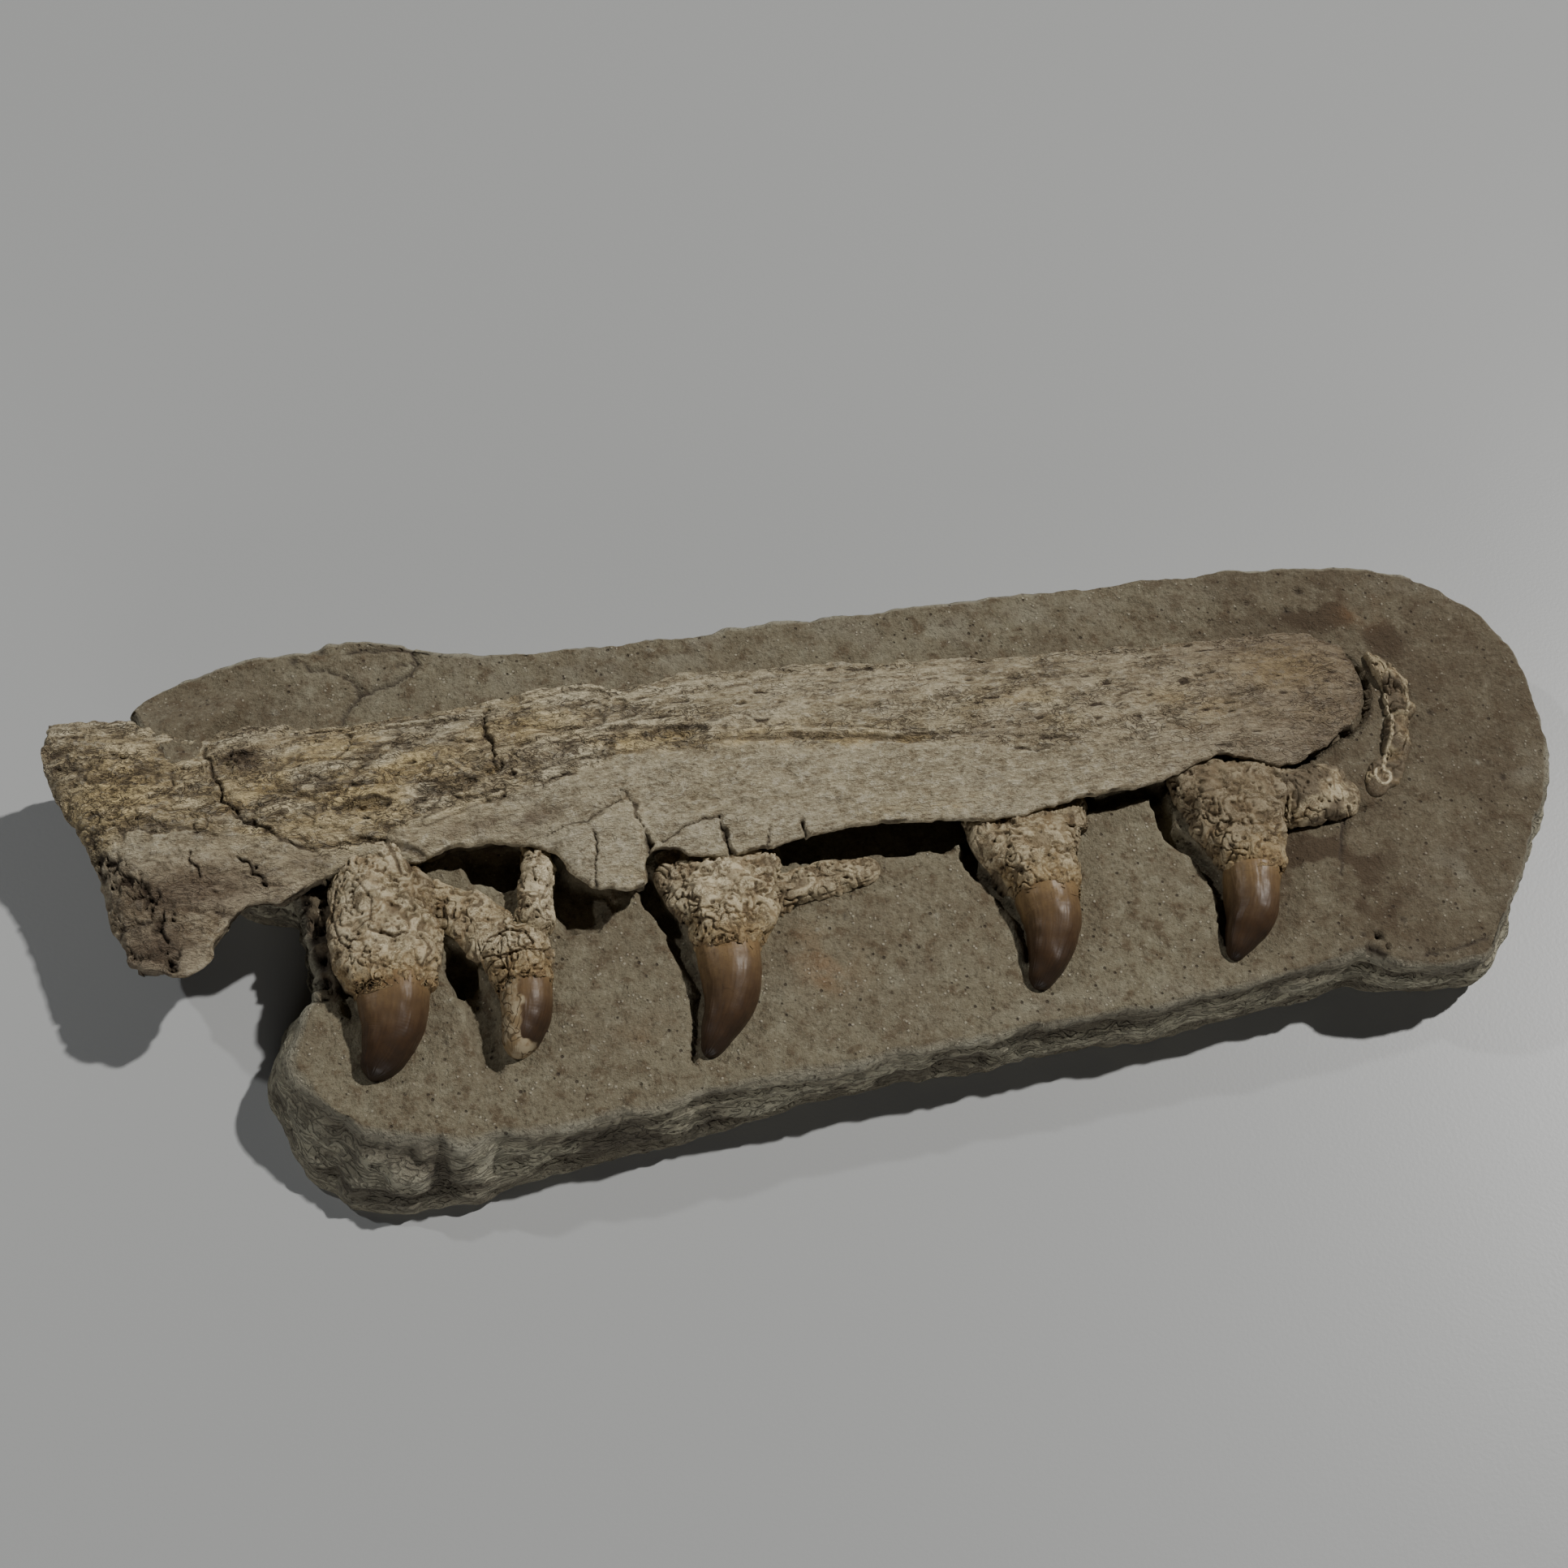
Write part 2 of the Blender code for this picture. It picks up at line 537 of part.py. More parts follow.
def small_bones(tools):
    """The bones between the teeth, each cut clear of the bones it meets."""
    neighbours = {
        "tooth_1_bridge": [1, 2], "tooth_2_strut": [2], "tooth_3_shelf": [3], "tooth_5_block": [5],
        "tip_fragment": [],
    }
    made = []
    for key, roots in neighbours.items():
        piece = set_down(small_bone(key, key), tools)
        cutters = [whole_bone("bone_room")] + [root(n, "root_room") for n in roots]
        if key == "tooth_2_strut":
            cutters.append(small_bone("tooth_1_bridge", "bridge_room"))
        combine(piece, [room_around(cutter, tools) for cutter in cutters], "DIFFERENCE")
        made.append((piece, "root"))
    return made


def main():
    clear_scene()
    model = collection("fossil_mosasaur_jaw")
    tools = collection("cutters")
    pieces = [(slab(tools), "matrix")]
    pieces += [(piece, "bone") for piece in jaw_bones(tools)]
    pieces += teeth(tools)
    pieces += small_bones(tools)
    for piece, kind in pieces:
        tools.objects.unlink(piece)
        model.objects.link(piece)
        piece.data.materials.clear()
        piece.data.materials.append(make_material(f"{kind}.{piece.name}"))
        piece.data.shade_smooth()
        piece.data.set_sharp_from_angle(angle=SHARP_ANGLE)


main()
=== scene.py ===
"""Looks of the fossil mosasaur jaw on its slab of matrix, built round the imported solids.

Tables below are in millimetres, in the frame's own axes: +X along the jaw to its tip, +Y from the
teeth to the jaw's back edge, +Z up from the floor. They become metres through MM.
"""
import math
from itertools import product

import bmesh
import bpy
import numpy as np
from bpy.props import FloatProperty, FloatVectorProperty, IntProperty, PointerProperty
from bpy.types import Operator, Panel, PropertyGroup
from mathutils import Matrix, Vector


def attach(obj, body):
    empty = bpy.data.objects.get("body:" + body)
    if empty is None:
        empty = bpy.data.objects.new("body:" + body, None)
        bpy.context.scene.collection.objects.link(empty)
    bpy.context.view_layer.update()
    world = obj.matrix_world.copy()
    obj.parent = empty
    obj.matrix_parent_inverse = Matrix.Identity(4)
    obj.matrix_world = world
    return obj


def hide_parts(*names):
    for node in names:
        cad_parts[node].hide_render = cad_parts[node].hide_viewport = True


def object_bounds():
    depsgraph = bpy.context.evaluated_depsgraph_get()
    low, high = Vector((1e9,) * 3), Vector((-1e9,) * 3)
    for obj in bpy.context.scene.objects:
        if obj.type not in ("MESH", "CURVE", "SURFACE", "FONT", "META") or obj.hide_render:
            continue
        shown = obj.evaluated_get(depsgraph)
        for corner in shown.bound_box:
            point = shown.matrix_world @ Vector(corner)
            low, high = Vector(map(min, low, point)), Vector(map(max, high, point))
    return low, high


bl_info = {
    "name": "Fossil mosasaur jaw",
    "version": (1, 0, 0),
    "blender": (4, 5, 0),
    "location": "3D View > Sidebar > Fossil jaw",
    "description": "Builds a mosasaur jaw bone with its teeth, lying on a slab of matrix",
    "category": "Add Mesh",
}

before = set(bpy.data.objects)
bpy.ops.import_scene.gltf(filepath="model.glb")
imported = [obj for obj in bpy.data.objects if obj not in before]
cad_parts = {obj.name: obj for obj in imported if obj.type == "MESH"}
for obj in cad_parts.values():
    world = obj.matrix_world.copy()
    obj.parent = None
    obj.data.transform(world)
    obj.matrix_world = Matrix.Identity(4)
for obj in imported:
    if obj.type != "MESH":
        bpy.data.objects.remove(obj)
CAD_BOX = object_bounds()
BODY = "root"
MM = 0.001

# Levels above the floor: the slab's top, the bone's bed on it, and the foot of what stands in the slab
SLAB_TOP = 26.0
BED = 26.3
FLOOR_OF_SOCKETS = 17.5
# How far in from its side the slab's top ends, which rounds its rim
RIM_ROUND = 2.5

# Slab: its rim in four stretches, each point with how far the foot of the side stands out below it.
# Where that is less than nothing, the side leans in.
RIM_BACK = [
    (-211, 74, 1), (-207, 82, 1), (-193, 88, 1), (-176, 92, 1), (-158, 93, 1), (-138, 94, 1),
    (-123, 90, 1), (-106, 84, 0), (-86, 82, 0), (-56, 81, 0), (-20, 80, 0), (20, 80, 0), (60, 79, 0),
    (101, 79, 0), (144, 78, 0), (170, 75, 0), (190, 72, 0), (207, 65, 0),
]
RIM_RIGHT = [
    (207, 65, 0), (220, 54, 0), (228, 42, 0), (232, 30, 0), (233, 12, 0), (231, -5, 0), (226, -18, 0),
    (217, -33, 0), (207, -50, 0), (199, -61, 0),
]
RIM_FRONT = [
    (-148, -74, 16), (-140, -78, 16), (-129, -81, 13), (-117, -83, 9), (-103, -84, 6), (-86, -84, 4),
    (-68, -82, 4), (-53, -80, 4), (-33, -79, 2), (-12, -78, 1), (14, -77, 0), (42, -76, 0),
    (69, -75, 0), (104, -73, 0), (141, -69, 0), (151, -67, 0), (158, -71, -2), (167, -74, -3),
    (180, -75, -3), (190, -71, -1), (199, -61, 0),
]
RIM_LEFT = [
    (-211, 74, 1), (-200, 52, 1), (-196, 36, 1), (-188, 18, 1), (-177, 7, 1), (-165, 4, 1),
    (-161, -2, 1), (-160, -14, 2), (-157, -27, 4), (-160, -35, 9), (-164, -43, 12), (-165, -52, 12),
    (-161, -61, 12), (-155, -69, 14), (-148, -74, 16),
]
# Side of the slab from its rim down: level, share of the foot's spread, reach outward
SIDE = [
    (26.0, 0.0, -2.5), (25.2, 0.02, -1.1), (23.5, 0.08, 0.0), (16.0, 0.45, 0.5), (9.0, 0.8, 0.4),
    (2.0, 1.0, 0.0), (0.0, 1.0, -2.0),
]

# Hollows dug into the slab: outline and depth
HOLLOWS = {
    "below_tooth_gap": ([(-110, 8), (-109, 0), (-99, -5), (-92, -3), (-91, 8)], 9.0),
    "beside_tooth_2": ([(-117, -19), (-120, -28), (-116, -36), (-111, -37), (-108, -26)], 8.5),
    "before_tooth_3": (
        [(-84, 4), (-79, -4), (-68, -10), (-67, -16), (-73, -23), (-82, -22), (-86, -12)], 5.5,
    ),
    "long_slot": (
        [(-14, 6), (-15, -9), (12, -11), (41, -13), (60, -5), (84, -2), (84, 5), (46, 4)], 9.0,
    ),
}
# Trenches dug along the teeth: middle line with half width and depth
TRENCHES = {
    "left_of_tooth_1": [(-150, -22, 2.0, 2), (-148, -30, 2.2, 3), (-146, -40, 2.0, 3)],
    "left_of_tooth_2": [
        (-113, -30, 3.5, 4), (-110, -40, 4.5, 4), (-108.5, -50, 4.5, 4), (-108, -61, 4, 3),
    ],
    "left_of_tooth_3": [
        (-57, -8, 4, 5), (-53, -20, 4, 6), (-49, -31, 3.4, 5), (-46.5, -42, 2.2, 3.5),
        (-47, -54, 2.0, 2.5), (-50, -68, 1.8, 2),
    ],
    "left_of_tooth_4": [
        (42, -10, 3, 5), (42.5, -19, 3, 5.5), (47, -27.5, 2.6, 5), (52, -38, 2, 3.5), (52, -52, 1.6, 2),
    ],
    "left_of_tooth_5": [
        (103, -2, 3, 6), (104, -16, 3.2, 6.5), (109, -24, 3, 6), (114, -38, 2.4, 4.5), (112, -56, 2, 3),
    ],
    "under_jaw_right": [
        (82, -4, 2.2, 6), (94, -3, 2.6, 6), (104, -1, 2.6, 6), (118, 1, 2, 4), (136, 0, 2, 4),
        (152, 2, 2, 4), (168, 11, 2, 5),
    ],
    "below_block": [(138, -22, 1.3, 2.5), (148, -20.5, 1.4, 3), (159, -19, 1.0, 2), (170, -18, 0.8, 1)],
    "tip_gap": [(167, 8, 1.6, 3), (176, 16, 1.4, 3), (178.5, 26, 1.3, 3), (176, 36, 1.0, 2)],
}
# Thin cracks in the slab: line with half width and depth
SLAB_CRACKS = [
    [(-141, 88, 0.7, 0.8), (-131, 88, 1.0, 1.0), (-121, 86, 0.8, 1.0), (-119, 81, 0.9, 1.2),
     (-122, 77, 1.0, 1.4), (-128, 74, 1.0, 1.4), (-138, 71.5, 1.0, 1.4), (-143.5, 65, 0.9, 1.2),
     (-145, 59, 0.8, 1.0)],
    [(-138, 71.5, 1.0, 1.2), (-140, 77, 0.8, 1.0), (-147, 82, 0.7, 0.9), (-154, 83, 0.9, 0.9),
     (-155, 86, 0.7, 0.7)],
    [(-120, 81, 0.8, 0.9), (-126, 81, 0.6, 0.6)],
    [(159, -19, 0.7, 0.9), (155, -27, 0.9, 1.2), (153, -33, 0.7, 0.9), (151, -40, 0.6, 0.5)],
    [(150, -66, 0.9, 1.2), (153, -64, 1.4, 2.0), (157, -67, 1.0, 1.2)],
    [(168, -69, 0.7, 0.8), (178, -69, 0.8, 0.8), (188, -67, 0.6, 0.5)],
]
# Round pits in the slab: middle, radius, depth
SLAB_PITS = [
    (-159, 88, 2.2, 1.0), (-150, 90, 2.0, 1.0), (156, -61, 1.8, 2.6), (158, -65, 1.5, 2.4),
    (152, -60, 1.2, 1.2), (165, -57, 1.4, 1.2), (211, -14, 1.5, 1.0), (-38, -57, 1.0, 0.8),
    (1, -30, 1.2, 0.8), (150, 62, 1.5, 1.0), (168, 64, 2.5, 1.4), (162, 57, 2.0, 1.2),
    (-120, -52, 0.9, 0.9), (-123, -62, 0.8, 0.8), (196, 12, 1.5, 0.8),
]
# Raised light grains on the slab: middle, radius, height
SLAB_GRAINS = [
    (19, -8.5, 1.9, 3.5), (39, -11.6, 1.6, 2.5), (-45, 74, 1.4, 0.8), (-8, -33, 1.0, 0.6),
    (28, -34, 1.0, 0.6), (-78, -60, 1.2, 0.5), (92, -33, 1.1, 0.5), (-165, 69, 1.4, 0.8),
    (205, -8, 1.2, 0.5),
]
# Stains on the slab: middle, half extent along X and Y, strength
BROWN_STAINS = [
    (172, 55, 24, 12, 1.5), (190, 42, 11, 14, 1.4), (150, -33, 26, 15, 1.6), (152, -46, 24, 12, 1.4),
    (163, -52, 10, 16, 1.2), (180, -20, 14, 16, 1.0), (197, 18, 12, 24, 0.9), (215, -2, 10, 22, 0.8),
    (210, -18, 6, 8, 0.8), (120, 52, 42, 4, 0.6), (-75, -35, 22, 26, 0.35), (-5, 72, 60, 5, 0.25),
    (-190, 72, 24, 10, 0.35), (-115, 70, 18, 10, 0.3), (90, 58, 40, 6, 0.35),
]
ORANGE_STAINS = [
    (-7, -47, 8, 7, 1.0), (-11, -40, 6, 8, 0.6), (186, 52, 7, 5, 0.7), (-62, -58, 8, 5, 0.3),
]
# Pale stains; the long thin strip at (100, -68) along the front rim is a paler worn rim with a painted
# highlight on it
PALE_STAINS = [
    (190, -45, 14, 9, 0.6), (218, -11, 6, 6, 0.7), (205, 60, 14, 8, 0.4), (-40, 74, 90, 9, 0.7),
    (60, 68, 60, 7, 0.6), (100, -68, 90, 4, 0.4), (-10, -50, 40, 8, 0.25),
]
# Side of the slab: its lumpy front corner, and a notch in the front there with half width and depth
LUMPY_CORNER = [(-135, -75, 38, 30, 1.0)]
NOTCH_PLACE = -125.0
NOTCH_HALF = 3.0
NOTCH_DEPTH = 3.5
# Crumbling strip of matrix left of tooth 1
CRUMB = [(-170, 8), (-148, 6), (-148, -30), (-160, -34)]
# Tongue of matrix that laps the bone's back edge, and where along Y it slopes down behind the bone
TONGUE = [
    (-214, 84), (-213, 66), (-207, 63), (-205, 60), (-204, 53), (-199, 49), (-194, 47), (-190, 46),
    (-187, 50), (-185, 56), (-183, 63), (-174, 72), (-168, 84),
]
TONGUE_SLOPE = (62.0, 82.0)
TONGUE_BONE_EDGE = 61.0

# Jaw bone: its two edges seen from above, its broken rear end and the old fracture
BACK_EDGE = [
    (-234, 63), (-232, 71.5), (-218, 69.5), (-207, 67), (-195, 60), (-186, 57), (-175, 60.5),
    (-142, 57), (-101, 58), (-70, 61), (-56, 57), (-34, 59), (0, 57), (36, 53), (95, 48), (157, 46),
    (165, 44), (171, 40), (175, 34), (176, 24),
]
FRONT_EDGE = [
    (-234, 52), (-229, 40), (-224, 31), (-218, 15), (-213, -3), (-209, -15), (-202, -19), (-192, -21),
    (-186, -17), (-181, -9), (-174, -2), (-163, -2), (-154, 4), (-140, 6), (-125, 5), (-107, 8),
    (-92, 5), (-83, 2), (-77, -7), (-73, -11), (-66, -14), (-57, -14), (-54, -4), (-43, -6), (-30, -9),
    (-15, -7), (0, -5), (24, -6), (56, -8), (85, -5), (108, -2), (118, 2), (127, 2), (143, -3),
    (156, 2), (167, 9), (173, 15), (176, 24),
]
REAR_CORNER = (-233, 70)
FRONT_CORNER = (-209, -15)
REAR_END = [
    REAR_CORNER, (-234, 63), (-234, 52), (-229, 40), (-224, 31), (-218, 15), (-213, -3), FRONT_CORNER,
]
FRACTURE = [(-186, 57), (-182, 49), (-177, 28), (-171, 20), (-162, 12), (-151, 4.5)]
JAW_TIP = [(157, 46), (165, 44), (171, 40), (175, 34), (176, 24), (173, 15), (167, 9), (156, 2)]
# Levels of the back edge, the crest and the front lip along X, and how far the side is cut back below it
BACK_HEIGHT = [(-234, 35), (-205, 35), (-140, 33), (0, 33), (120, 32), (176, 30)]
CREST_HEIGHT = [
    (-234, 38), (-205, 41), (-120, 41), (-40, 41.5), (60, 40), (140, 38), (168, 35), (176, 31),
]
LIP_HEIGHT = [(-234, 34), (-210, 32), (-150, 34), (-60, 35), (40, 35.5), (120, 34.5), (176, 30)]
UNDERCUT = [(-234, 1), (-125, 1), (-85, 2), (-60, 5), (0, 9), (80, 8), (140, 5), (170, 2), (176, 1)]
# Underside of the overhanging rear end, sloping down behind, and the lowest that its texture may reach
UNDERSIDE = [(-234, 20), (-231, 15), (-216, 14), (-200, BED), (-150, BED)]
UNDERSIDE_LOWEST = 13.5
UNDERSIDE_INSET = 0.95
# Share of the way from the back edge to the front where the rise starts and where the crest runs
SHOULDER_PLACE = 0.05
CREST_PLACE = 0.42
# How far the top lies below the solid's, so that its fibres stand out to it, and the base below the bed
FIBRES_SINK = 0.3
BASE_SINK = 1.5
# Side of the jaw bone from its lip down: share of the way, reach outward, share of the undercut
LIP = [
    (0.06, 0.5, 0.0), (0.14, 0.7, 0.0), (0.24, 0.4, 0.06), (0.36, -0.1, 0.25), (0.5, -0.4, 0.55),
    (0.64, -0.6, 0.8), (0.8, -0.6, 0.95), (1.0, -0.8, 1.0),
]

# Nerve openings: middle, half length along X, half width, depth
FORAMINA = [
    (-137.5, 23.0, 9.0, 3.2, 2.6), (-41.5, 33.0, 10.5, 2.9, 2.4), (31.0, 20.5, 7.0, 1.7, 1.3),
    (-98.0, 29.5, 3.2, 2.8, 1.0),
]
# Grooves in the bone: line with half width and depth
BONE_GROOVES = [
    [(-121, 25.5, 1.4, 0.9), (-112, 25, 2.2, 1.3), (-102, 27, 2.2, 1.3), (-93, 30, 1.4, 0.9)],
    [(-30, 29, 1.0, 0.6), (-18, 27, 1.3, 0.9), (0, 25.2, 1.2, 0.9), (16, 22.4, 1.2, 0.8),
     (29, 19.4, 1.0, 0.5)],
    [(-98, 47, 1.2, 0.7), (-79, 41.5, 1.3, 0.9), (-56, 37.5, 1.3, 0.8), (-44, 36, 1.2, 0.5)],
    [(-144, 40, 1.0, 0.7), (-133, 39, 1.3, 1.0), (-124, 45, 1.2, 1.0), (-115, 45.5, 1.0, 0.7)],
    [(-140, 14, 1.4, 1.0), (-132, 10.5, 1.7, 1.2), (-124, 7.5, 1.6, 1.2), (-118, 2, 1.2, 0.8)],
    [(-88, 25, 0.9, 0.6), (-76, 28.3, 1.0, 0.8), (-60, 28.5, 0.8, 0.6)],
    [(39, 21, 0.8, 0.5), (62, 17, 0.9, 0.6), (80, 14, 0.8, 0.4)],
    [(-175, 33, 1.0, 0.6), (-160, 31, 1.2, 0.8), (-152, 27, 1.1, 0.7)],
    [(-108, 34, 1.0, 0.7), (-94, 37, 1.1, 0.8), (-84, 36, 0.9, 0.5)],
]
# Cracks in the bone: line with half width and depth
BONE_CRACKS = [
    [(-99, 54, 0.8, 1.8), (-99, 46, 1.0, 2.0), (-98, 36, 0.9, 1.4), (-95.5, 30, 0.8, 1.0)],
    [(-141, 52, 0.7, 1.2), (-141, 45, 0.8, 1.2), (-145, 40, 0.6, 0.8)],
    [(-69.5, 4, 0.5, 1.2), (-70, -4, 0.6, 1.4), (-71, -13, 0.5, 1.0)],
    [(-7, -1, 0.6, 2.0), (-8, -6, 0.9, 2.8)],
    [(-49, -1, 0.4, 0.7), (-43, 1.2, 0.5, 0.8), (-38, 2.6, 0.5, 0.9), (-32, 2.8, 0.6, 1.2),
     (-30, -6, 0.8, 2.0), (-29.8, -10, 0.8, 2.4)],
    [(-60, 15.5, 0.5, 0.9), (-57, 11, 0.5, 1.0), (-55, 4.7, 0.7, 1.4), (-54, -3.6, 0.9, 2.2)],
    [(-61, 12, 0.4, 0.6), (-72, 7, 0.4, 0.6), (-84, 6, 0.4, 0.5)],
    [(-17, -2, 0.4, 0.7), (-19, -7, 0.6, 1.4)],
    [(-188.5, 15, 0.6, 1.0), (-187.5, 11, 0.5, 1.0), (-186, 6.5, 0.6, 1.2)],
    [(-175, 12, 0.6, 1.0), (-171, 8, 0.9, 1.4), (-168, 3, 0.8, 1.2)],
    [(-185, 54, 0.9, 1.0), (-182, 40, 1.2, 1.3), (-178, 29, 1.2, 1.5), (-172, 22.5, 1.2, 1.6),
     (-164, 17, 1.0, 1.2), (-153, 12, 0.8, 0.9)],
    [(-228, 52, 0.5, 0.8), (-214, 53, 0.6, 0.8), (-206, 51, 0.5, 0.6)],
    [(60, 12, 0.5, 0.6), (73, 10, 0.5, 0.6)],
    [(96, 27, 0.5, 0.7), (104, 27, 0.6, 0.7)],
    [(122, 30, 0.7, 0.9), (128, 30.5, 0.6, 0.9)],
]
# Ridges on the bone, given a painted highlight and a painted shadow line beside them: line with half width
# and height
BONE_RIDGES = [
    [(-141, 53, 1.0, 0.6), (-126, 54, 1.3, 0.9), (-110, 53, 1.2, 0.9), (-99, 52, 0.9, 0.5)],
    [(-21, 30.2, 1.0, 0.6), (2, 27.4, 1.0, 0.6), (16, 24.6, 1.0, 0.6), (28, 21.6, 0.8, 0.5),
     (40, 19.8, 0.6, 0.3)],
    [(-90, 34, 0.9, 0.5), (-80, 36, 1.0, 0.6), (-60, 39.6, 1.0, 0.6), (-52, 41.6, 0.9, 0.5),
     (-46, 47, 0.7, 0.3)],
    [(-87, 56, 0.9, 0.4), (-80, 58, 0.9, 0.6), (-71, 59, 0.9, 0.6), (-62, 57, 0.8, 0.4)],
    [(-119, 15.5, 1.1, 0.6), (-107, 19.3, 1.2, 0.8), (-96, 21, 1.0, 0.6)],
    [(-162, 36.5, 0.9, 0.5), (-150, 39, 1.0, 0.6), (-143, 38.5, 0.8, 0.4)],
    [(-226, 44, 0.8, 0.4), (-210, 41, 1.0, 0.6), (-196, 38, 0.9, 0.4)],
]
# Upper boundary of the smooth grey plate along the front of the bone
PLATE_EDGE = [
    (-234, 14), (-218, 17), (-205, 23.5), (-186, 21.5), (-164, 18), (-150, 8), (-135, 12), (-120, 17.5),
    (-96, 19), (-75, 22), (-60, 27), (-35, 26), (0, 23), (40, 17), (73, 12), (110, 9), (140, 8),
    (176, 8),
]
# Ochre and dark stains on the bone: middle, half extent along X and Y, strength
GOLD_STAINS = [
    (-140, 35, 45, 22, 1.0), (-90, 45, 24, 12, 0.8), (-210, 36, 22, 22, 0.9), (-165, 28, 20, 16, 0.9),
    (-62, 32, 24, 6, 0.9), (-18, 27, 22, 4, 0.9), (5, 23, 16, 3, 0.8), (70, 26, 20, 6, 0.5),
    (120, 22, 14, 7, 0.6), (152, 30, 18, 10, 0.8), (30, -3, 22, 3, 0.8), (-40, 8, 12, 6, 0.4),
    (60, -3, 12, 3, 0.5), (-60, -11, 8, 3, 0.8), (150, 12, 12, 5, 0.5),
]
# Dark stains; the two along the rear end's broken left edge, at (-234, 40) and (-213, 4), are painted shade
# along that edge
DARK_STAINS = [
    (-174, 46, 8, 9, 0.9), (-213, 4, 4, 16, 0.9), (-206, 8, 7, 8, 0.8), (-172, 2, 12, 8, 0.5),
    (170, 28, 24, 28, 0.75), (105, 30, 55, 35, 0.35), (-100, 27, 7, 4, 0.6), (-98, 37, 4, 8, 0.6),
    (-92, 12, 16, 2.5, 1.0), (-108, 12, 10, 2.5, 0.7), (-156, 8, 8, 6, 0.6), (-234, 40, 6, 30, 0.5),
    (-196, -3, 5, 14, 0.6), (-44, 36, 14, 2, 0.4), (35, 20, 9, 2, 0.5), (-84, 33, 8, 5, 0.4),
    (-178, 26, 7, 6, 0.5), (-186, 14, 14, 7, 0.35),
]
# Spongy break down the rear end: middle line with half width
BREAK = [(-216, 17, 5), (-207, 8, 6), (-199.5, 0, 4.5), (-196, -9, 3), (-196.5, -19, 2.5)]
# Spongy spots, the broken corner where no smooth plate is left, and the part of it that is rough
SPONGE_SPOTS = [(-174, 46, 7, 8, 0.8), (-211, -6, 5, 12, 0.7)]
NO_PLATE = [(-188, -5, 30, 13, 1.0)]
ROUGH_CORNER = [(-190, 2, 30, 10, 1.0), (-200, -12, 16, 12, 1.0)]

# Teeth: the crown's centre line from its base to its tip, each with the half width there
CROWNS = {
    1: [
        (-133.5, -32, 10.6), (-134, -41, 9.8), (-135.2, -47.5, 8.5), (-137.8, -53.3, 6.8),
        (-140.2, -57, 4.9), (-141.9, -60, 2.6),
    ],
    2: [(-95.3, -36, 8.1), (-95.8, -46, 7.4), (-97.3, -52, 6.3), (-98.9, -56.5, 5.0), (-100, -60, 3.8)],
    3: [
        (-35.5, -36, 9.5), (-35.5, -45, 8.9), (-37, -51.5, 7.8), (-39.5, -57.5, 6.2), (-43, -63.5, 4.4),
        (-46.3, -68, 2.2),
    ],
    4: [
        (61.5, -33, 9.5), (61.5, -41, 8.5), (60, -47.5, 7.5), (57.3, -54, 5.9), (54, -59.3, 3.8),
        (52, -62, 2.0),
    ],
    5: [
        (124, -35, 8.4), (122.5, -43.5, 8.0), (120.5, -49, 7.2), (117, -54, 5.6), (113.6, -58.8, 3.7),
        (111.2, -62, 1.9),
    ],
}
CROWN_HEIGHT = 1.15
# Crown with bare bone: the place along X and Y of its left part's edge, its lean, and the bare tip's corner
BARE_CROWN = 2
BARE_EDGE = (-96.5, -46.0)
BARE_LEAN = 0.08
BARE_TIP = (-94.5, -57.0)
# Roots: centre line from above the crown up under the bone, with half width and height
ROOTS = {
    1: [
        (-134, -37.5, 11.2, 12.6), (-134.2, -32, 13, 12.9), (-134.5, -26, 15.5, 12.8),
        (-135, -14, 17.2, 12.2), (-135.5, -2, 15.5, 11.2), (-135, 8, 12, 9.6), (-134, 18, 8, 7),
    ],
    2: [
        (-95.5, -41, 8.6, 9.6), (-96, -36, 9.2, 10.2), (-97, -29, 10, 10), (-97.5, -22, 9.5, 8),
        (-98, -17, 6, 5),
    ],
    3: [
        (-35, -40, 9.7, 11.0), (-34.5, -35, 10.6, 11.6), (-33.5, -26, 14, 11), (-34, -15, 17.5, 9.2),
        (-34.5, -8, 18.5, 7), (-35, 0, 18, 4),
    ],
    4: [
        (62, -37, 9.7, 11.0), (62, -31, 10.8, 11.4), (60.5, -22, 13.5, 10.6), (60, -13, 17, 9),
        (61, -6, 19, 6), (61, 0, 19, 3),
    ],
    5: [
        (124.5, -39, 8.7, 9.8), (125, -32, 10.2, 10.7), (125, -21, 14, 10.4), (125, -10, 17.5, 9.2),
        (126, 1, 18.5, 6), (127, 8, 18, 3),
    ],
}
# Smaller bones between the teeth: centre line with half width and height
SMALL_BONES = {
    "tooth_1_bridge": [
        (-122, -4, 6, 5), (-116, -9, 7.5, 5.5), (-110, -14, 8, 6), (-104, -20, 8.5, 6.2),
        (-99, -27, 8, 5),
    ],
    "tooth_2_strut": [
        (-88, 9, 4.3, 6.5), (-88.5, -2, 4.2, 8), (-89.5, -10, 4.8, 8.5), (-91, -17, 6.2, 9),
        (-92, -24, 7.5, 8),
    ],
    "tooth_3_shelf": [
        (-26, -24, 7, 4), (-14, -18, 6.2, 5), (-4, -17.5, 5.4, 5), (6, -16.5, 4.8, 4.4),
        (14, -15, 3.4, 2),
    ],
    "tooth_5_block": [
        (137, -12, 9, 5), (144, -12, 10, 7), (153, -12, 9.5, 7), (160, -13, 7.5, 5), (165, -13, 5, 2),
    ],
    "tip_fragment": [
        (182, 36, 1.2, 1.5), (185, 31, 3, 2.6), (186.5, 22, 4.6, 3), (184, 8, 3.6, 2.6),
        (179, -3, 3.6, 2.6), (173, -9, 4.6, 3), (169, -15, 2, 1.2),
    ],
}
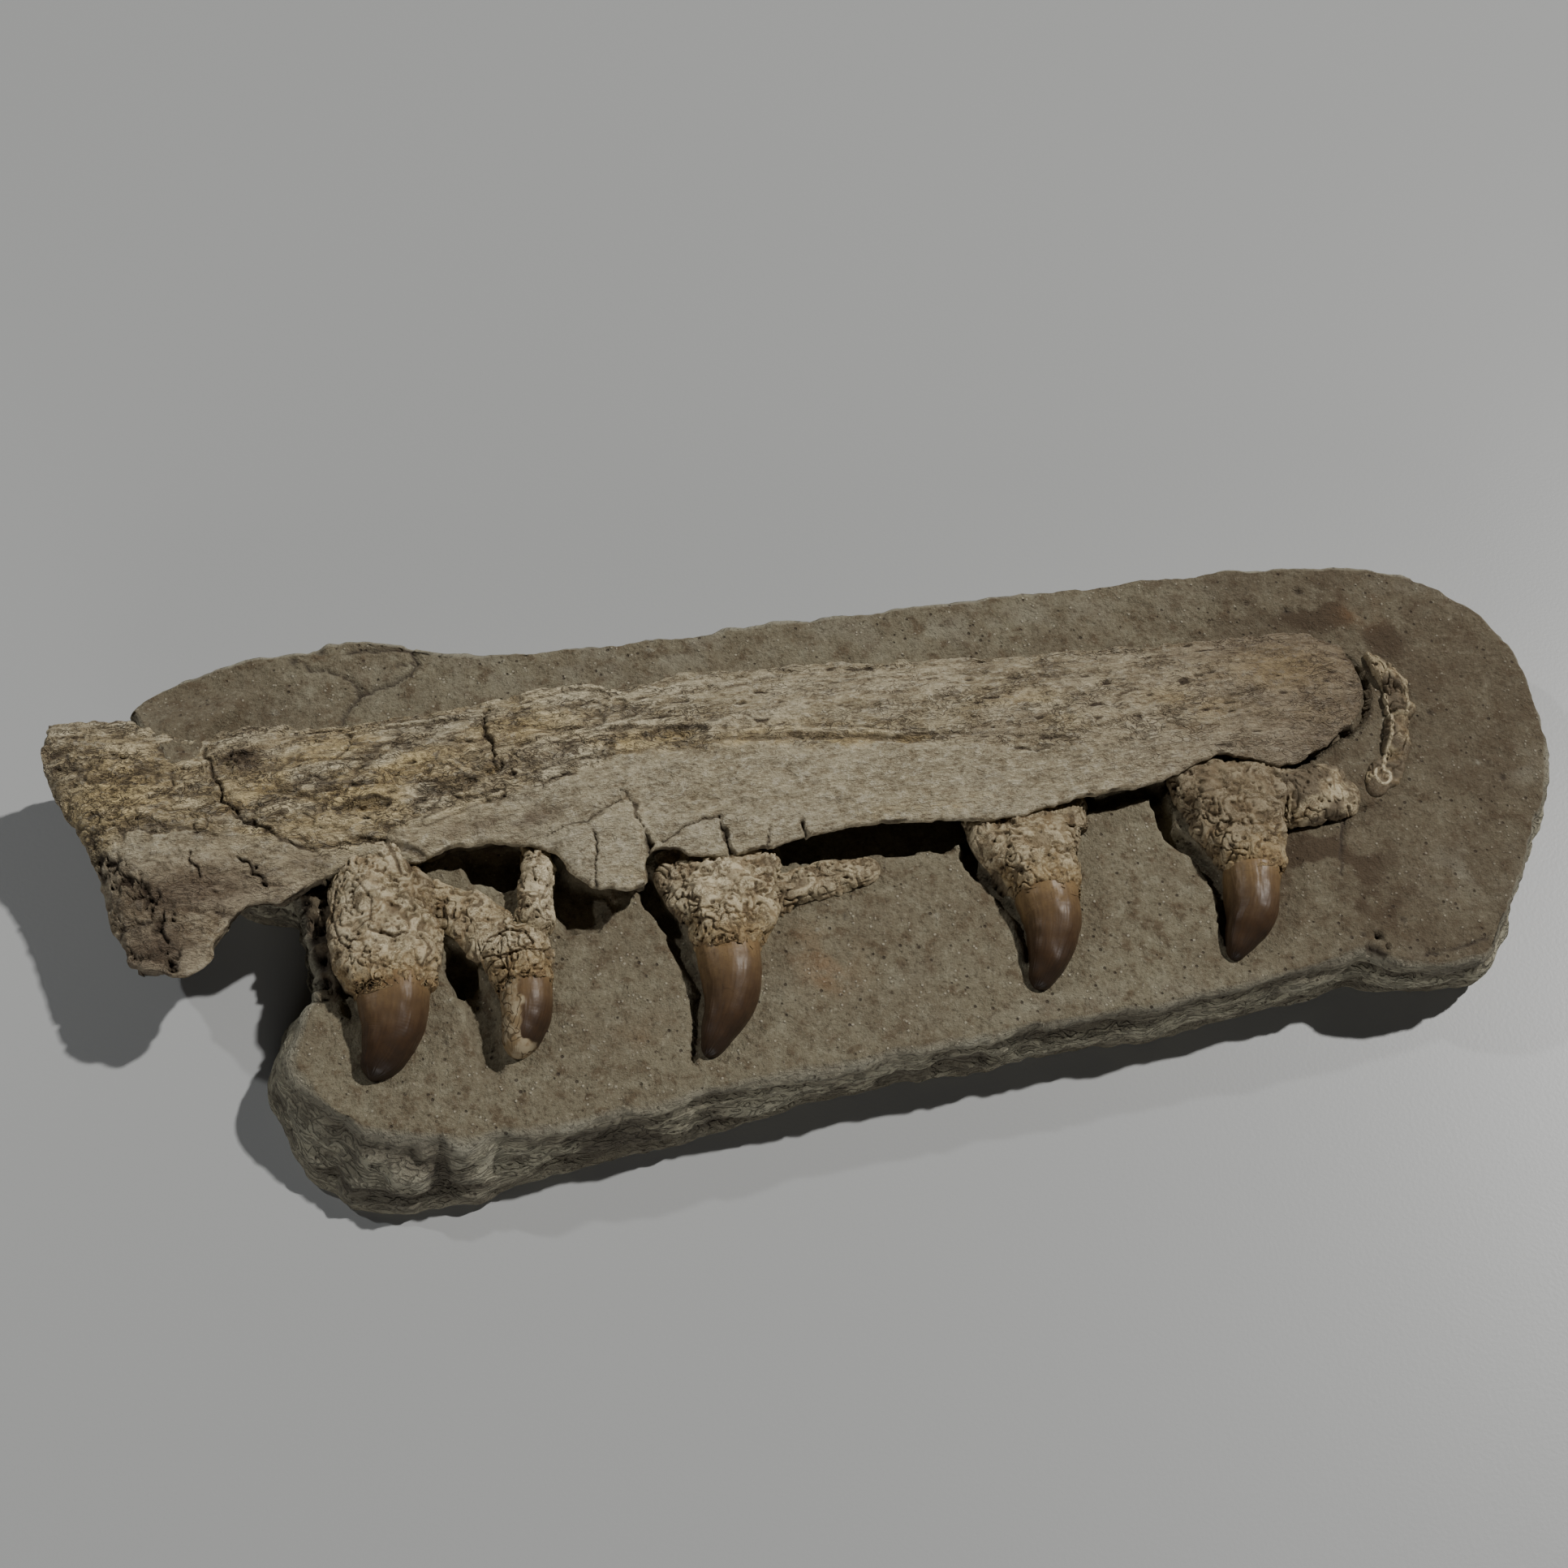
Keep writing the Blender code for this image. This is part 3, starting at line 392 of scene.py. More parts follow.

# Pale and amber stains on the roots and small bones: middle, half extent along X and Y, strength
PALE_BONE = [
    (-143, -9, 5.5, 9, 0.6), (-131, -22, 9, 6, 0.5), (-99.5, -26.5, 6.5, 3, 1.0),
    (-86.5, -10, 6, 12, 0.8), (-109, -14, 6, 7, 0.3), (-104, -21, 5, 4, 0.3), (150, -10, 14, 8, 0.2),
    (184, 25, 6, 8, 0.5), (173, -9, 4, 4, 0.5), (-5, -20, 12, 4, 0.3), (-36, -16, 12, 8, 0.6),
]
AMBER_STAINS = [
    (-140, 2, 7, 7, 0.6), (-109, -12, 6, 6, 0.6), (-40, -26, 6, 10, 0.5), (-30, -20, 8, 8, 0.3),
    (-118, -6, 6, 6, 0.5), (60, -22, 12, 10, 0.5), (124, -20, 14, 14, 0.5), (-28, -24, 6, 8, 0.3),
]
# Darker blots on the roots: painted shade along their left flanks and where they meet the next bone, and a
# brown tint towards the jaw's tip: middle, half extent along X and Y, strength
ROOT_SHADE_AND_BROWN = [
    (-121, -2, 6, 6, 0.9), (-120, -7, 5, 6, 0.6), (-50, -12, 5, 5, 0.5), (118, -6, 10, 6, 0.6),
    (135, -14, 5, 10, 0.4), (125, -18, 26, 24, 0.35), (150, -12, 20, 14, 0.55), (-151, -8, 3, 14, 0.8),
    (-151, -24, 3, 8, 0.7),
]
# How far each small bone takes the matrix's brown
EARTH = {
    "tip_fragment": 1.0, "tooth_5_block": 0.95, "tooth_3_shelf": 0.35, "tooth_1_bridge": 0.1,
    "tooth_2_strut": 0.0,
}
# Thin ridges on the fragment beyond the jaw's tip, painted light as pale bone with a highlight: line with
# half width and height
TIP_RIDGES = [
    [(182, 35, 0.7, 0.5), (182.8, 27, 0.8, 0.6), (188, 26, 0.7, 0.6), (190, 19, 0.7, 0.5),
     (187, 11, 0.6, 0.4)],
    [(182.8, 27, 0.7, 0.5), (182.6, 18, 0.8, 0.6), (181.5, 8, 0.8, 0.6), (177.5, 0, 0.7, 0.6),
     (174.5, -6, 0.8, 0.5)],
    [(174.5, -6, 0.7, 0.4), (176, -8.5, 0.8, 0.5), (174.5, -11.5, 0.7, 0.5), (172, -11.5, 0.6, 0.3),
     (171, -9, 0.6, 0.3), (172, -6.5, 0.6, 0.3)],
]
# Cracks in the roots: line with half width and depth
ROOT_CRACKS = [
    [(-132, 12, 0.9, 0.4), (-129.5, 6, 0.9, 0.5), (-128, 0, 0.7, 0.3)],
    [(-129, 12, 0.9, 0.4), (-126.5, 7, 0.9, 0.5), (-125.5, 1, 0.7, 0.3)],
    [(-148, -1, 0.6, 0.8), (-149.5, -10, 0.6, 0.8), (-147, -20, 0.5, 0.6), (-142, -25, 0.4, 0.4)],
    [(-141, -1, 0.5, 0.6), (-137, -8, 0.5, 0.7), (-137.5, -15, 0.5, 0.6), (-143, -18, 0.4, 0.4)],
    [(-138, -18.5, 0.6, 0.8), (-134, -20, 0.8, 1.2), (-131, -21.5, 0.6, 0.8), (-128, -20.5, 0.5, 0.5)],
    [(-124, -21, 0.5, 0.6), (-121, -26, 0.5, 0.6), (-124, -31, 0.4, 0.4)],
    [(-106.5, -27, 0.5, 0.7), (-104.5, -23.8, 0.5, 0.7), (-99, -22.6, 0.5, 0.7),
     (-93.5, -24.5, 0.5, 0.7), (-91.5, -28, 0.5, 0.7), (-96, -31, 0.5, 0.7), (-101, -31, 0.5, 0.7),
     (-106.5, -29, 0.5, 0.7)],
    [(-108, -33, 0.6, 0.9), (-103, -32.3, 0.6, 0.9), (-96, -30.8, 0.5, 0.8), (-89, -30.5, 0.5, 0.7)],
    [(-99.7, -32, 0.5, 0.8), (-99.3, -38, 0.6, 1.0), (-99.8, -43, 0.5, 0.8)],
]

# Rings along each body and points over each ring's dome, and the dome's height at its foot as a share
ROOT_GRID = (190, 120)
SMALL_BONE_GRID = (150, 90)
CROWN_GRID = (150, 90)
DOME_FOOT = 0.12

# Large numbers that mix a lattice point's numbers and a seed into a random one, and a word of 32 bits
HASH_X, HASH_Y, HASH_Z, HASH_SEED = 374761393, 668265263, 1274126177, 974634777
WORD = 0xFFFFFFFF

# What the meshes carry for their materials, after the three coordinates
# Each mesh carries a field of painted shade for its cracks, grooves, hollows and pores; the bone and roots
# also one of painted highlight on raised parts, with pale bone on the roots; the slab one of pale stains
# with painted highlight
MATRIX_FIELDS = ("cavity", "brown", "orange", "pale", "side")
BONE_FIELDS = ("cavity", "gold", "plate", "light", "dark", "wild")
ROOT_FIELDS = ("cavity", "amber", "light", "near_crown", "earth")
CROWN_FIELDS = ("along", "streak", "bare", "cavity", "edge")

# Camera: its eye, its turn and tilt in degrees, and its field of view
EYE = (-59.56, -294.56, 574.26)
CAMERA_TURN = -9.0
CAMERA_TILT = 60.0
FIELD_OF_VIEW = 42.0
# Lamps: place, size, colour, and the property that holds its power
LAMPS = {
    "key_lamp": ((3040, 1300, 3800), 160, (1.0, 0.99, 0.97), "key_power"),
    "side_lamp": ((-2350, 2050, 2500), 160, (0.97, 0.99, 1.0), "fill_power"),
    "front_lamp": ((-350, -1450, 210), 700, (1.0, 1.0, 1.0), "front_power"),
}
SURROUND_COLOUR = (0.95, 0.97, 1.0)
FLOOR_HALF = 2500.0


def table(rows, x):
    """Straight-line reading of a two-column table at x."""
    rows = np.array(rows, float)
    return np.interp(x, rows[:, 0], rows[:, 1])


def ease(value, low, high):
    """0 below low, 1 above high, and the cubic 3t^2 - 2t^3 between them."""
    t = np.clip((value - low) / (high - low), 0.0, 1.0)
    return t * t * (3 - 2 * t)


def smooth_path(rows, steps=8):
    """Catmull-Rom curve through the rows, with steps points a span."""
    rows = np.array(rows, float)
    padded = np.vstack([2 * rows[0] - rows[1], rows, 2 * rows[-1] - rows[-2]])
    a, b, c, d = (padded[i:i + len(rows) - 1, None] for i in range(4))
    t = (np.arange(steps) / steps)[None, :, None]
    square, cube = 2 * a - 5 * b + 4 * c - d, 3 * b - a - 3 * c + d
    curve = 0.5 * (2 * b + (c - a) * t + square * t**2 + cube * t**3)
    return np.vstack([curve.reshape(-1, rows.shape[1]), rows[-1:]])


def resample(rows, count):
    """count points spread evenly by length along the smooth curve through the rows."""
    line = smooth_path(rows)
    steps = np.hypot(np.diff(line[:, 0]), np.diff(line[:, 1]))
    walked = np.concatenate([[0.0], np.cumsum(steps)])
    goal = np.linspace(0.0, walked[-1], count)
    return np.column_stack([np.interp(goal, walked, column) for column in line.T])


def noise(places, size, seed, stretch=(1.0, 1.0, 1.0), octaves=1):
    """Smooth random value, about -1 to 1, at each place: random values on a lattice of that size, joined
    by the quintic 6t^5 - 15t^4 + 10t^3, plus octaves of half the size and half the strength. The value at
    a lattice point is a hash of its numbers and the seed, so each seed always gives the same pattern."""
    total, strength = 0.0, 1.0
    for octave in range(octaves):
        spot = places / (size * np.array(stretch)) + 17.3 * (octave + 1)
        corner = np.floor(spot).astype(np.int64)
        t = spot - corner
        t = t**3 * (t * (6 * t - 15) + 10)
        value = 0.0
        for offset in product((0, 1), repeat=3):
            x, y, z = (corner[..., i] + offset[i] for i in range(3))
            mixed = (x * HASH_X + y * HASH_Y + z * HASH_Z + (seed + octave) * HASH_SEED) & WORD
            mixed = ((mixed ^ (mixed >> 13)) * HASH_Z) & WORD
            mixed ^= mixed >> 16
            weight = np.prod([t[..., i] if offset[i] else 1 - t[..., i] for i in range(3)], axis=0)
            value = value + weight * ((mixed & 0xFFFF) / 32767.5 - 1)
        total = total + strength * value
        strength *= 0.5
        size = size * 0.5
    return total * 1.4


def near_line(x, y, rows):
    """Distance of each place from a line of rows, and the rows' further columns at the nearest point."""
    rows = np.array(rows, float)
    best = np.full(x.shape, np.inf)
    extra = np.zeros(x.shape + (rows.shape[1] - 2,))
    for a, b in zip(rows[:-1], rows[1:]):
        step = b - a
        share = ((x - a[0]) * step[0] + (y - a[1]) * step[1]) / (step[0] ** 2 + step[1] ** 2)
        share = np.clip(share, 0.0, 1.0)
        gap = np.hypot(x - a[0] - share * step[0], y - a[1] - share * step[1])
        nearer = gap < best
        best = np.where(nearer, gap, best)
        extra = np.where(nearer[..., None], a[2:] + share[..., None] * step[2:], extra)
    return best, extra


def inside_by(x, y, outline):
    """Distance inside a closed outline, negative outside it. A place is inside if a line from it crosses
    the outline an odd number of times."""
    ring = np.array(list(outline) + [outline[0]], float)
    gap, _ = near_line(x, y, ring)
    odd = np.zeros(x.shape, bool)
    for (ax, ay), (bx, by) in zip(ring[:-1], ring[1:]):
        if ay != by:
            odd ^= ((ay > y) != (by > y)) & (x < ax + (y - ay) * (bx - ax) / (by - ay))
    return np.where(odd, gap, -gap)


def dug(x, y, rows, steep=0.5):
    """Depth of a trench along rows of (x, y, half width, depth): flat to steep of the half width, then
    eased to nothing. Second, how deep it is there as a share."""
    gap, extra = near_line(x, y, rows)
    share = 1.0 - ease(gap / extra[..., 0], steep, 1.0)
    return share * extra[..., 1], share


def blots(x, y, rows):
    """Strength of soft oval stains: the largest of each strength times e to minus the squared distance,
    counted in half extents."""
    total = np.zeros(x.shape)
    for px, py, wide, deep, strength in rows:
        total = np.maximum(total, strength * np.exp(-(((x - px) / wide) ** 2) - ((y - py) / deep) ** 2))
    return total


def coons(back, front, left, right):
    """A patch between four edge curves: the straight blends of opposite edges added, less the blend of
    the corners."""
    s = np.linspace(0, 1, len(back))[:, None, None]
    t = np.linspace(0, 1, len(left))[None, :, None]
    across = (1 - t) * back[:, None] + t * front[:, None]
    along = (1 - s) * left[None] + s * right[None]
    corners = (1 - s) * ((1 - t) * back[0] + t * front[0]) + s * ((1 - t) * back[-1] + t * front[-1])
    return across + along - corners


def rim_loop(edges, along, across):
    """One closed loop, clockwise seen from above, through the back, front, left and right edges."""
    counts = (along, along, across, across)
    back, front, left, right = (resample(rows, count) for rows, count in zip(edges, counts))
    return np.concatenate([back[:-1], right[:-1], front[:0:-1], left[:0:-1]])


def plan_inside(rim, along, across):
    """The plan of a grid inside such a loop: the patch between its four stretches."""
    around = np.vstack([rim, rim[:1]])
    a, b = along - 1, across - 1
    back, right = around[:a + 1], around[a:a + b + 1]
    front, left = around[a + b:2 * a + b + 1][::-1], around[2 * a + b:][::-1]
    return coons(back, front, left, right)


def edge_loop(rows, columns):
    """Vertex numbers round a grid's edge: along its back, down its right, along its front, up its left."""
    number = np.arange(rows * columns).reshape(rows, columns)
    return np.concatenate([number[:-1, 0], number[-1, :-1], number[:0:-1, -1], number[0, :0:-1]])


def outward_of(loop):
    """Unit normals in plan of a closed loop that runs clockwise seen from above."""
    along = np.roll(loop, -1, axis=0) - np.roll(loop, 1, axis=0)
    normal = np.column_stack([-along[:, 1], along[:, 0]])
    return normal / np.maximum(np.linalg.norm(normal, axis=1)[:, None], 1e-9)


def grid_quads(rows, columns, start=0, wrap=False):
    """Corner numbers of a grid's quads. With wrap, the last column joins the first."""
    number = start + np.arange(rows * columns).reshape(rows, columns)
    following = np.roll(number, -1, axis=1) if wrap else number[:, 1:]
    here = number if wrap else number[:, :-1]
    return np.stack([here[:-1], here[1:], following[1:], following[:-1]], axis=-1).reshape(-1, 4)


def lay_mesh(name, places, faces, fields, material, nodes):
    """Puts places (x, y, z and one column for each field) and faces into a mesh with outward faces, held to
    the solids' box, and hides the CAD nodes that it stands for."""
    low, high = (np.array(corner) / MM for corner in CAD_BOX)
    spots = np.clip(places[:, :3], low, high)
    mesh = bpy.data.meshes.new(name)
    mesh.from_pydata((spots * MM).tolist(), [], faces)
    work = bmesh.new()
    work.from_mesh(mesh)
    bmesh.ops.recalc_face_normals(work, faces=work.faces[:])
    work.to_mesh(mesh)
    work.free()
    for column, field in enumerate(fields, 3):
        attribute = mesh.attributes.new(field, "FLOAT", "POINT")
        attribute.data.foreach_set("value", places[:, column].astype(np.float32))
    mesh.materials.append(material)
    mesh.shade_smooth()
    piece = bpy.data.objects.new(name, mesh)
    bpy.context.scene.collection.objects.link(piece)
    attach(piece, BODY)
    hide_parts(*nodes)
    return piece


def body_from_sheet(name, top, rings, under, fields, material, nodes):
    """A closed body: a top grid, rings of points going down from its edge, and a flat face or an under
    grid with as many rows and columns as the top."""
    rows, columns = top.shape[:2]
    loop = edge_loop(rows, columns)
    places = [top.reshape(-1, top.shape[2])]
    faces = [grid_quads(rows, columns)]
    total, above = rows * columns, loop
    for ring in rings:
        below = total + np.arange(len(loop))
        faces.append(np.stack([above, below, np.roll(below, -1), np.roll(above, -1)], axis=-1))
        places.append(ring)
        total, above = total + len(loop), below
    faces = np.concatenate(faces).tolist()
    if under is None:
        faces.append(above[::-1].tolist())
    else:
        places.append(under.reshape(-1, under.shape[2]))
        below = total + loop
        faces += np.stack([above, below, np.roll(below, -1), np.roll(above, -1)], axis=-1).tolist()
        faces += grid_quads(rows, columns, total)[:, ::-1].tolist()
    return lay_mesh(name, np.concatenate(places), faces, fields, material, nodes)


def body_from_tube(name, tube, fields, material, nodes):
    """A closed body from rings (rings, points a ring, columns), each end closed by a fan to its middle."""
    rows, columns = tube.shape[:2]
    places = tube.reshape(-1, tube.shape[2])
    faces = grid_quads(rows, columns, wrap=True).tolist()
    first, last = rows * columns, rows * columns + 1
    turn = np.arange(columns)
    following = np.roll(turn, -1)
    faces += np.stack([np.full(columns, first), turn, following], axis=-1).tolist()
    base = (rows - 1) * columns
    faces += np.stack([np.full(columns, last), base + following, base + turn], axis=-1).tolist()
    places = np.concatenate([places, tube[0].mean(0)[None], tube[-1].mean(0)[None]])
    return lay_mesh(name, places, faces, fields, material, nodes)


class Wire:
    """One output of a material's nodes. A sum or product of wires adds the Math node for it."""

    def __init__(self, paint, socket):
        self.paint = paint
        self.socket = socket

    def _maths(self, operation, *values):
        """A Math node of that operation on the values."""
        return self.paint.node("ShaderNodeMath", {"operation": operation}, dict(enumerate(values)))

    def __add__(self, other):
        return self._maths("ADD", self, other)

    def __sub__(self, other):
        return self._maths("SUBTRACT", self, other)

    def __rsub__(self, other):
        return self._maths("SUBTRACT", other, self)

    def __mul__(self, other):
        return self._maths("MULTIPLY", self, other)

    def __abs__(self):
        return self._maths("ABSOLUTE", self)

    __radd__ = __add__
    __rmul__ = __mul__


class Paint:
    """One material: its nodes, and the shader that they feed."""

    def __init__(self, name, roughness=0.8):
        self.material = bpy.data.materials.new(name)
        self.material.use_nodes = True
        self.tree = self.material.node_tree
        self.shader = self.tree.nodes["Principled BSDF"]
        self.shader.inputs["Roughness"].default_value = roughness
        self.object_place = self.node("ShaderNodeTexCoord", {}, {}, output="Object")

    def node(self, kind, settings, values, output=0):
        """Adds a node: first its settings, then a number, colour or wire for each socket."""
        made = self.tree.nodes.new(kind)
        for key, value in settings.items():
            if key == "stops":
                ramp = made.color_ramp
                while len(ramp.elements) < len(value):
                    ramp.elements.new(0.5)
                for element, (place, colour) in zip(ramp.elements, value):
                    element.position = place
                    element.color = (*colour, 1.0)
            else:
                setattr(made, key, value)
        for key, value in values.items():
            if isinstance(value, Wire):
                self.tree.links.new(value.socket, made.inputs[key])
            else:
                made.inputs[key].default_value = value
        return Wire(self, made.outputs[output])

    def field(self, name):
        """The value that the mesh carries under that name."""
        return self.node("ShaderNodeAttribute", {"attribute_name": name}, {}, output="Fac")

    def grain(self, size, stretch=(1.0, 1.0, 1.0), detail=3.0, rough=0.55, shift=0.0, bend=0.0):
        """Noise from 0 to 1, its lumps size millimetres across and longer along an axis by its stretch."""
        scale = [1.0 / (size * MM * share) for share in stretch]
        values = {"Vector": self.object_place, "Scale": scale, "Location": (shift, shift, shift)}
        place = self.node("ShaderNodeMapping", {}, values)
        values = {"Vector": place, "Scale": 1.0, "Detail": detail, "Roughness": rough, "Distortion": bend}
        return self.node("ShaderNodeTexNoise", {}, values)

    def lines(self, size, wide, stretch=(1.0, 1.0, 1.0), shift=0.0, bend=1.0):
        """1 along winding lines and 0 away from them: a line runs where a bent noise is near its middle."""
        away = abs(self.grain(size, stretch, 1.0, 0.5, shift, bend) - 0.5)
        return 1.0 - self.between(away, 0.25 * wide, wide)

    def cells(self, size):
        """Distance from the nearest middle in a pattern of random cells, about size millimetres across."""
        scale = [1.0 / (size * MM)] * 3
        place = self.node("ShaderNodeMapping", {}, {"Vector": self.object_place, "Scale": scale})
        values = {"Vector": place, "Scale": 1.0}
        return self.node("ShaderNodeTexVoronoi", {"feature": "F1"}, values, output="Distance")

    def between(self, value, low, high):
        """0 at low and below, 1 at high and above, eased between them."""
        settings = {"interpolation_type": "SMOOTHSTEP"}
        values = {"Value": value, "From Min": low, "From Max": high}
        return self.node("ShaderNodeMapRange", settings, values)

    def mix(self, share, first, second):
        """Colour that goes from first to second with share."""
        first = (*first, 1.0) if isinstance(first, tuple) else first
        second = (*second, 1.0) if isinstance(second, tuple) else second
        values = {0: share, 6: first, 7: second}
        return self.node("ShaderNodeMix", {"data_type": "RGBA"}, values, output=2)

    def layers(self, colour, coats):
        """The colour with coats laid over it in order, each a share and its own colour."""
        for share, coat in coats:
            colour = self.mix(share, colour, coat)
        return colour

    def finish(self, colour, height, strength, distance, roughness=None):
        """Feeds the shader a colour, a bump that stands distance millimetres tall, and a roughness."""
        bump = {"Height": height, "Strength": strength, "Distance": distance * MM}
        links = {"Base Color": colour, "Normal": self.node("ShaderNodeBump", {}, bump)}
        if roughness is not None:
            links["Roughness"] = roughness
        for socket, wire in links.items():
            self.tree.links.new(wire.socket, self.shader.inputs[socket])
        return self.material


def tint(colour):
    """A property's colour as a plain tuple."""
    return tuple(float(value) for value in colour)


def paint_matrix(look):
    """Olive-grey phosphate sand: clouded, with pale and dark grains and brown, orange and pale stains. Its
    side is laid on in a paler olive-grey, partly its worn face's own tone and partly painted light on the
    side faces;
    its worn rim and raised wrinkles carry a painted highlight, and its wrinkles, crevices and cavities
    painted shade."""
    paint = Paint("matrix_stone", 0.92)
    cloud = paint.grain(26.0, detail=4.0)
    patch = paint.grain(5.0, detail=5.0, rough=0.65, shift=3.0)
    sand = paint.grain(1.5, detail=4.0, rough=0.7, shift=7.0)
    side = paint.field("side")
    brown = paint.field("brown")
    clean = 1.0 - brown * 0.6
    wrinkle = paint.lines(3.0, 0.08, stretch=(2.6, 2.6, 0.7), shift=9.0, bend=1.5) * side
    pale_spots = paint.between(paint.grain(5.0, shift=11.0), 0.48, 0.58)
    pale_grain = paint.between(paint.cells(2.2), 0.24, 0.12) * pale_spots
    dark_spots = paint.between(paint.grain(8.0, shift=5.0), 0.48, 0.56)
    dark_grain = paint.between(paint.cells(3.1), 0.20, 0.11) * dark_spots
    colour = paint.mix(paint.between(cloud, 0.35, 0.65), tint(look.colour), tint(look.second_colour))
    colour = paint.layers(colour, [
        (paint.between(patch, 0.50, 0.66) * 0.8, (0.12, 0.083, 0.045)),
        (paint.between(patch, 0.46, 0.32) * 0.6, (0.30, 0.275, 0.19)),
        # The side's colour, paler than the top's: its own olive-grey tone and painted light on the side
        # faces
        (side * 0.9, (0.48, 0.445, 0.32)),
        (brown * 0.85, tint(look.stain_colour)),
        (paint.field("orange") * 0.7, (0.24, 0.12, 0.045)),
        # Pale stains and grains, with a painted highlight on the worn rim and on the side's raised wrinkles
        (paint.field("pale") * 0.7, (0.36, 0.34, 0.26)),
        # The sand is darker where its bump sinks and lighter where it stands up: painted shade and
        # highlight on the fine grain
        (paint.between(sand, 0.52, 0.68) * 0.6, (0.075, 0.052, 0.03)),
        (paint.between(sand, 0.46, 0.32) * clean * 0.35, (0.40, 0.36, 0.26)),
        (pale_grain * clean * 0.6, (0.58, 0.52, 0.39)),
        (dark_grain * 0.8, (0.05, 0.033, 0.02)),
        # Painted shade in the side's wrinkles
        (wrinkle * 0.5, (0.06, 0.052, 0.036)),
        # Painted shade in cracks, pits, hollows, crevices and the side's lower part
        (paint.field("cavity") * 0.9, (0.055, 0.04, 0.027)),
    ])
    height = pale_grain * 0.4 - dark_grain * 0.5 + (1.0 - sand) * 1.3 + patch * 1.2 - wrinkle * 0.8
    return paint.finish(colour, height, 1.0, look.grain_height)


def paint_bone(look):
    """Fibrous fossil bone: ochre, flaky and cracked behind, a smoother grey-cream plate in front, darker
    towards the tip, with fibres and flecks along the jaw. Flakes, fibres and flecks are lighter where their
    bump stands up and darker where it sinks, as painted highlight and shade; the web of cracks and the
    mesh's fields add more painted shade and highlight."""
    paint = Paint("jaw_bone", 0.8)
    streak = paint.grain(1.2, stretch=(7.0, 1.0, 1.0), detail=4.0, rough=0.65)
    fleck = paint.grain(1.0, stretch=(2.0, 1.0, 1.0), detail=4.0, rough=0.7, shift=4.0)
    flake = paint.grain(2.6, stretch=(1.3, 1.0, 1.0), detail=5.0, rough=0.7, shift=12.0)
    cloud = paint.grain(16.0, stretch=(2.0, 1.0, 1.0), detail=4.0, shift=8.0)
    clouded = paint.between(cloud, 0.35, 0.65)
    spell = paint.grain(7.0, stretch=(2.0, 1.0, 1.0), detail=2.0, shift=5.0)
    spell = paint.between(spell, 0.40, 0.60)
    calm = 1.0 - paint.field("plate") * 0.6
    wild = paint.field("wild")
    web = paint.lines(2.6, 0.07, stretch=(2.0, 1.0, 1.0), bend=1.5)
    web = web * (spell * 0.45 + wild * 0.25) * calm
    fine_web = paint.lines(1.5, 0.06, stretch=(1.8, 1.0, 1.0), shift=3.0)
    fine_web = fine_web * (spell * 0.3 + wild * 0.25) * calm
    tan = paint.mix(clouded, tint(look.colour), tint(look.second_colour))
    gold = paint.mix(paint.between(fleck, 0.38, 0.62), tint(look.gold_colour), (0.72, 0.55, 0.27))
    grey = paint.mix(clouded, tint(look.plate_colour), (0.39, 0.335, 0.22))
    bright = paint.mix(paint.field("gold"), (0.82, 0.72, 0.50), (0.78, 0.60, 0.29))
    colour = paint.layers(paint.mix(paint.field("gold"), tan, gold), [
        (paint.field("plate") * 0.85, grey),
        # From here the flake, streak and fleck coats are lighter where their bump stands up and darker
        # where it sinks: painted highlight and shade over the grain
        (paint.between(flake, 0.53, 0.62) * 0.55, (0.20, 0.145, 0.075)),
        (paint.between(flake, 0.47, 0.38) * 0.7, (0.62, 0.56, 0.42)),
        (paint.between(streak, 0.53, 0.66) * calm * 0.5, (0.15, 0.095, 0.045)),
        (paint.between(streak, 0.46, 0.34) * calm * 0.6, (0.58, 0.50, 0.36)),
        (paint.between(fleck, 0.54, 0.64) * 0.6, (0.13, 0.083, 0.038)),
        (paint.between(fleck, 0.45, 0.34) * 0.55, bright),
        # Painted highlight on ridges, fibres, folds and round the openings
        (paint.field("light") * 0.85, bright),
        # Painted shade in the web of cracks
        (fine_web * 0.7, (0.09, 0.055, 0.027)),
        (web * 0.9, (0.05, 0.03, 0.016)),
        (paint.field("dark"), (0.11, 0.068, 0.04)),
        # Painted shade in the bone's recesses
        (paint.field("cavity"), (0.052, 0.032, 0.016)),
    ])
    height = (1.0 - streak) * 0.8 * calm + (1.0 - fleck) + (1.0 - flake) * 1.2 - web * 0.8 - fine_web * 0.5
    return paint.finish(colour, height, 1.0, look.fibre_height)


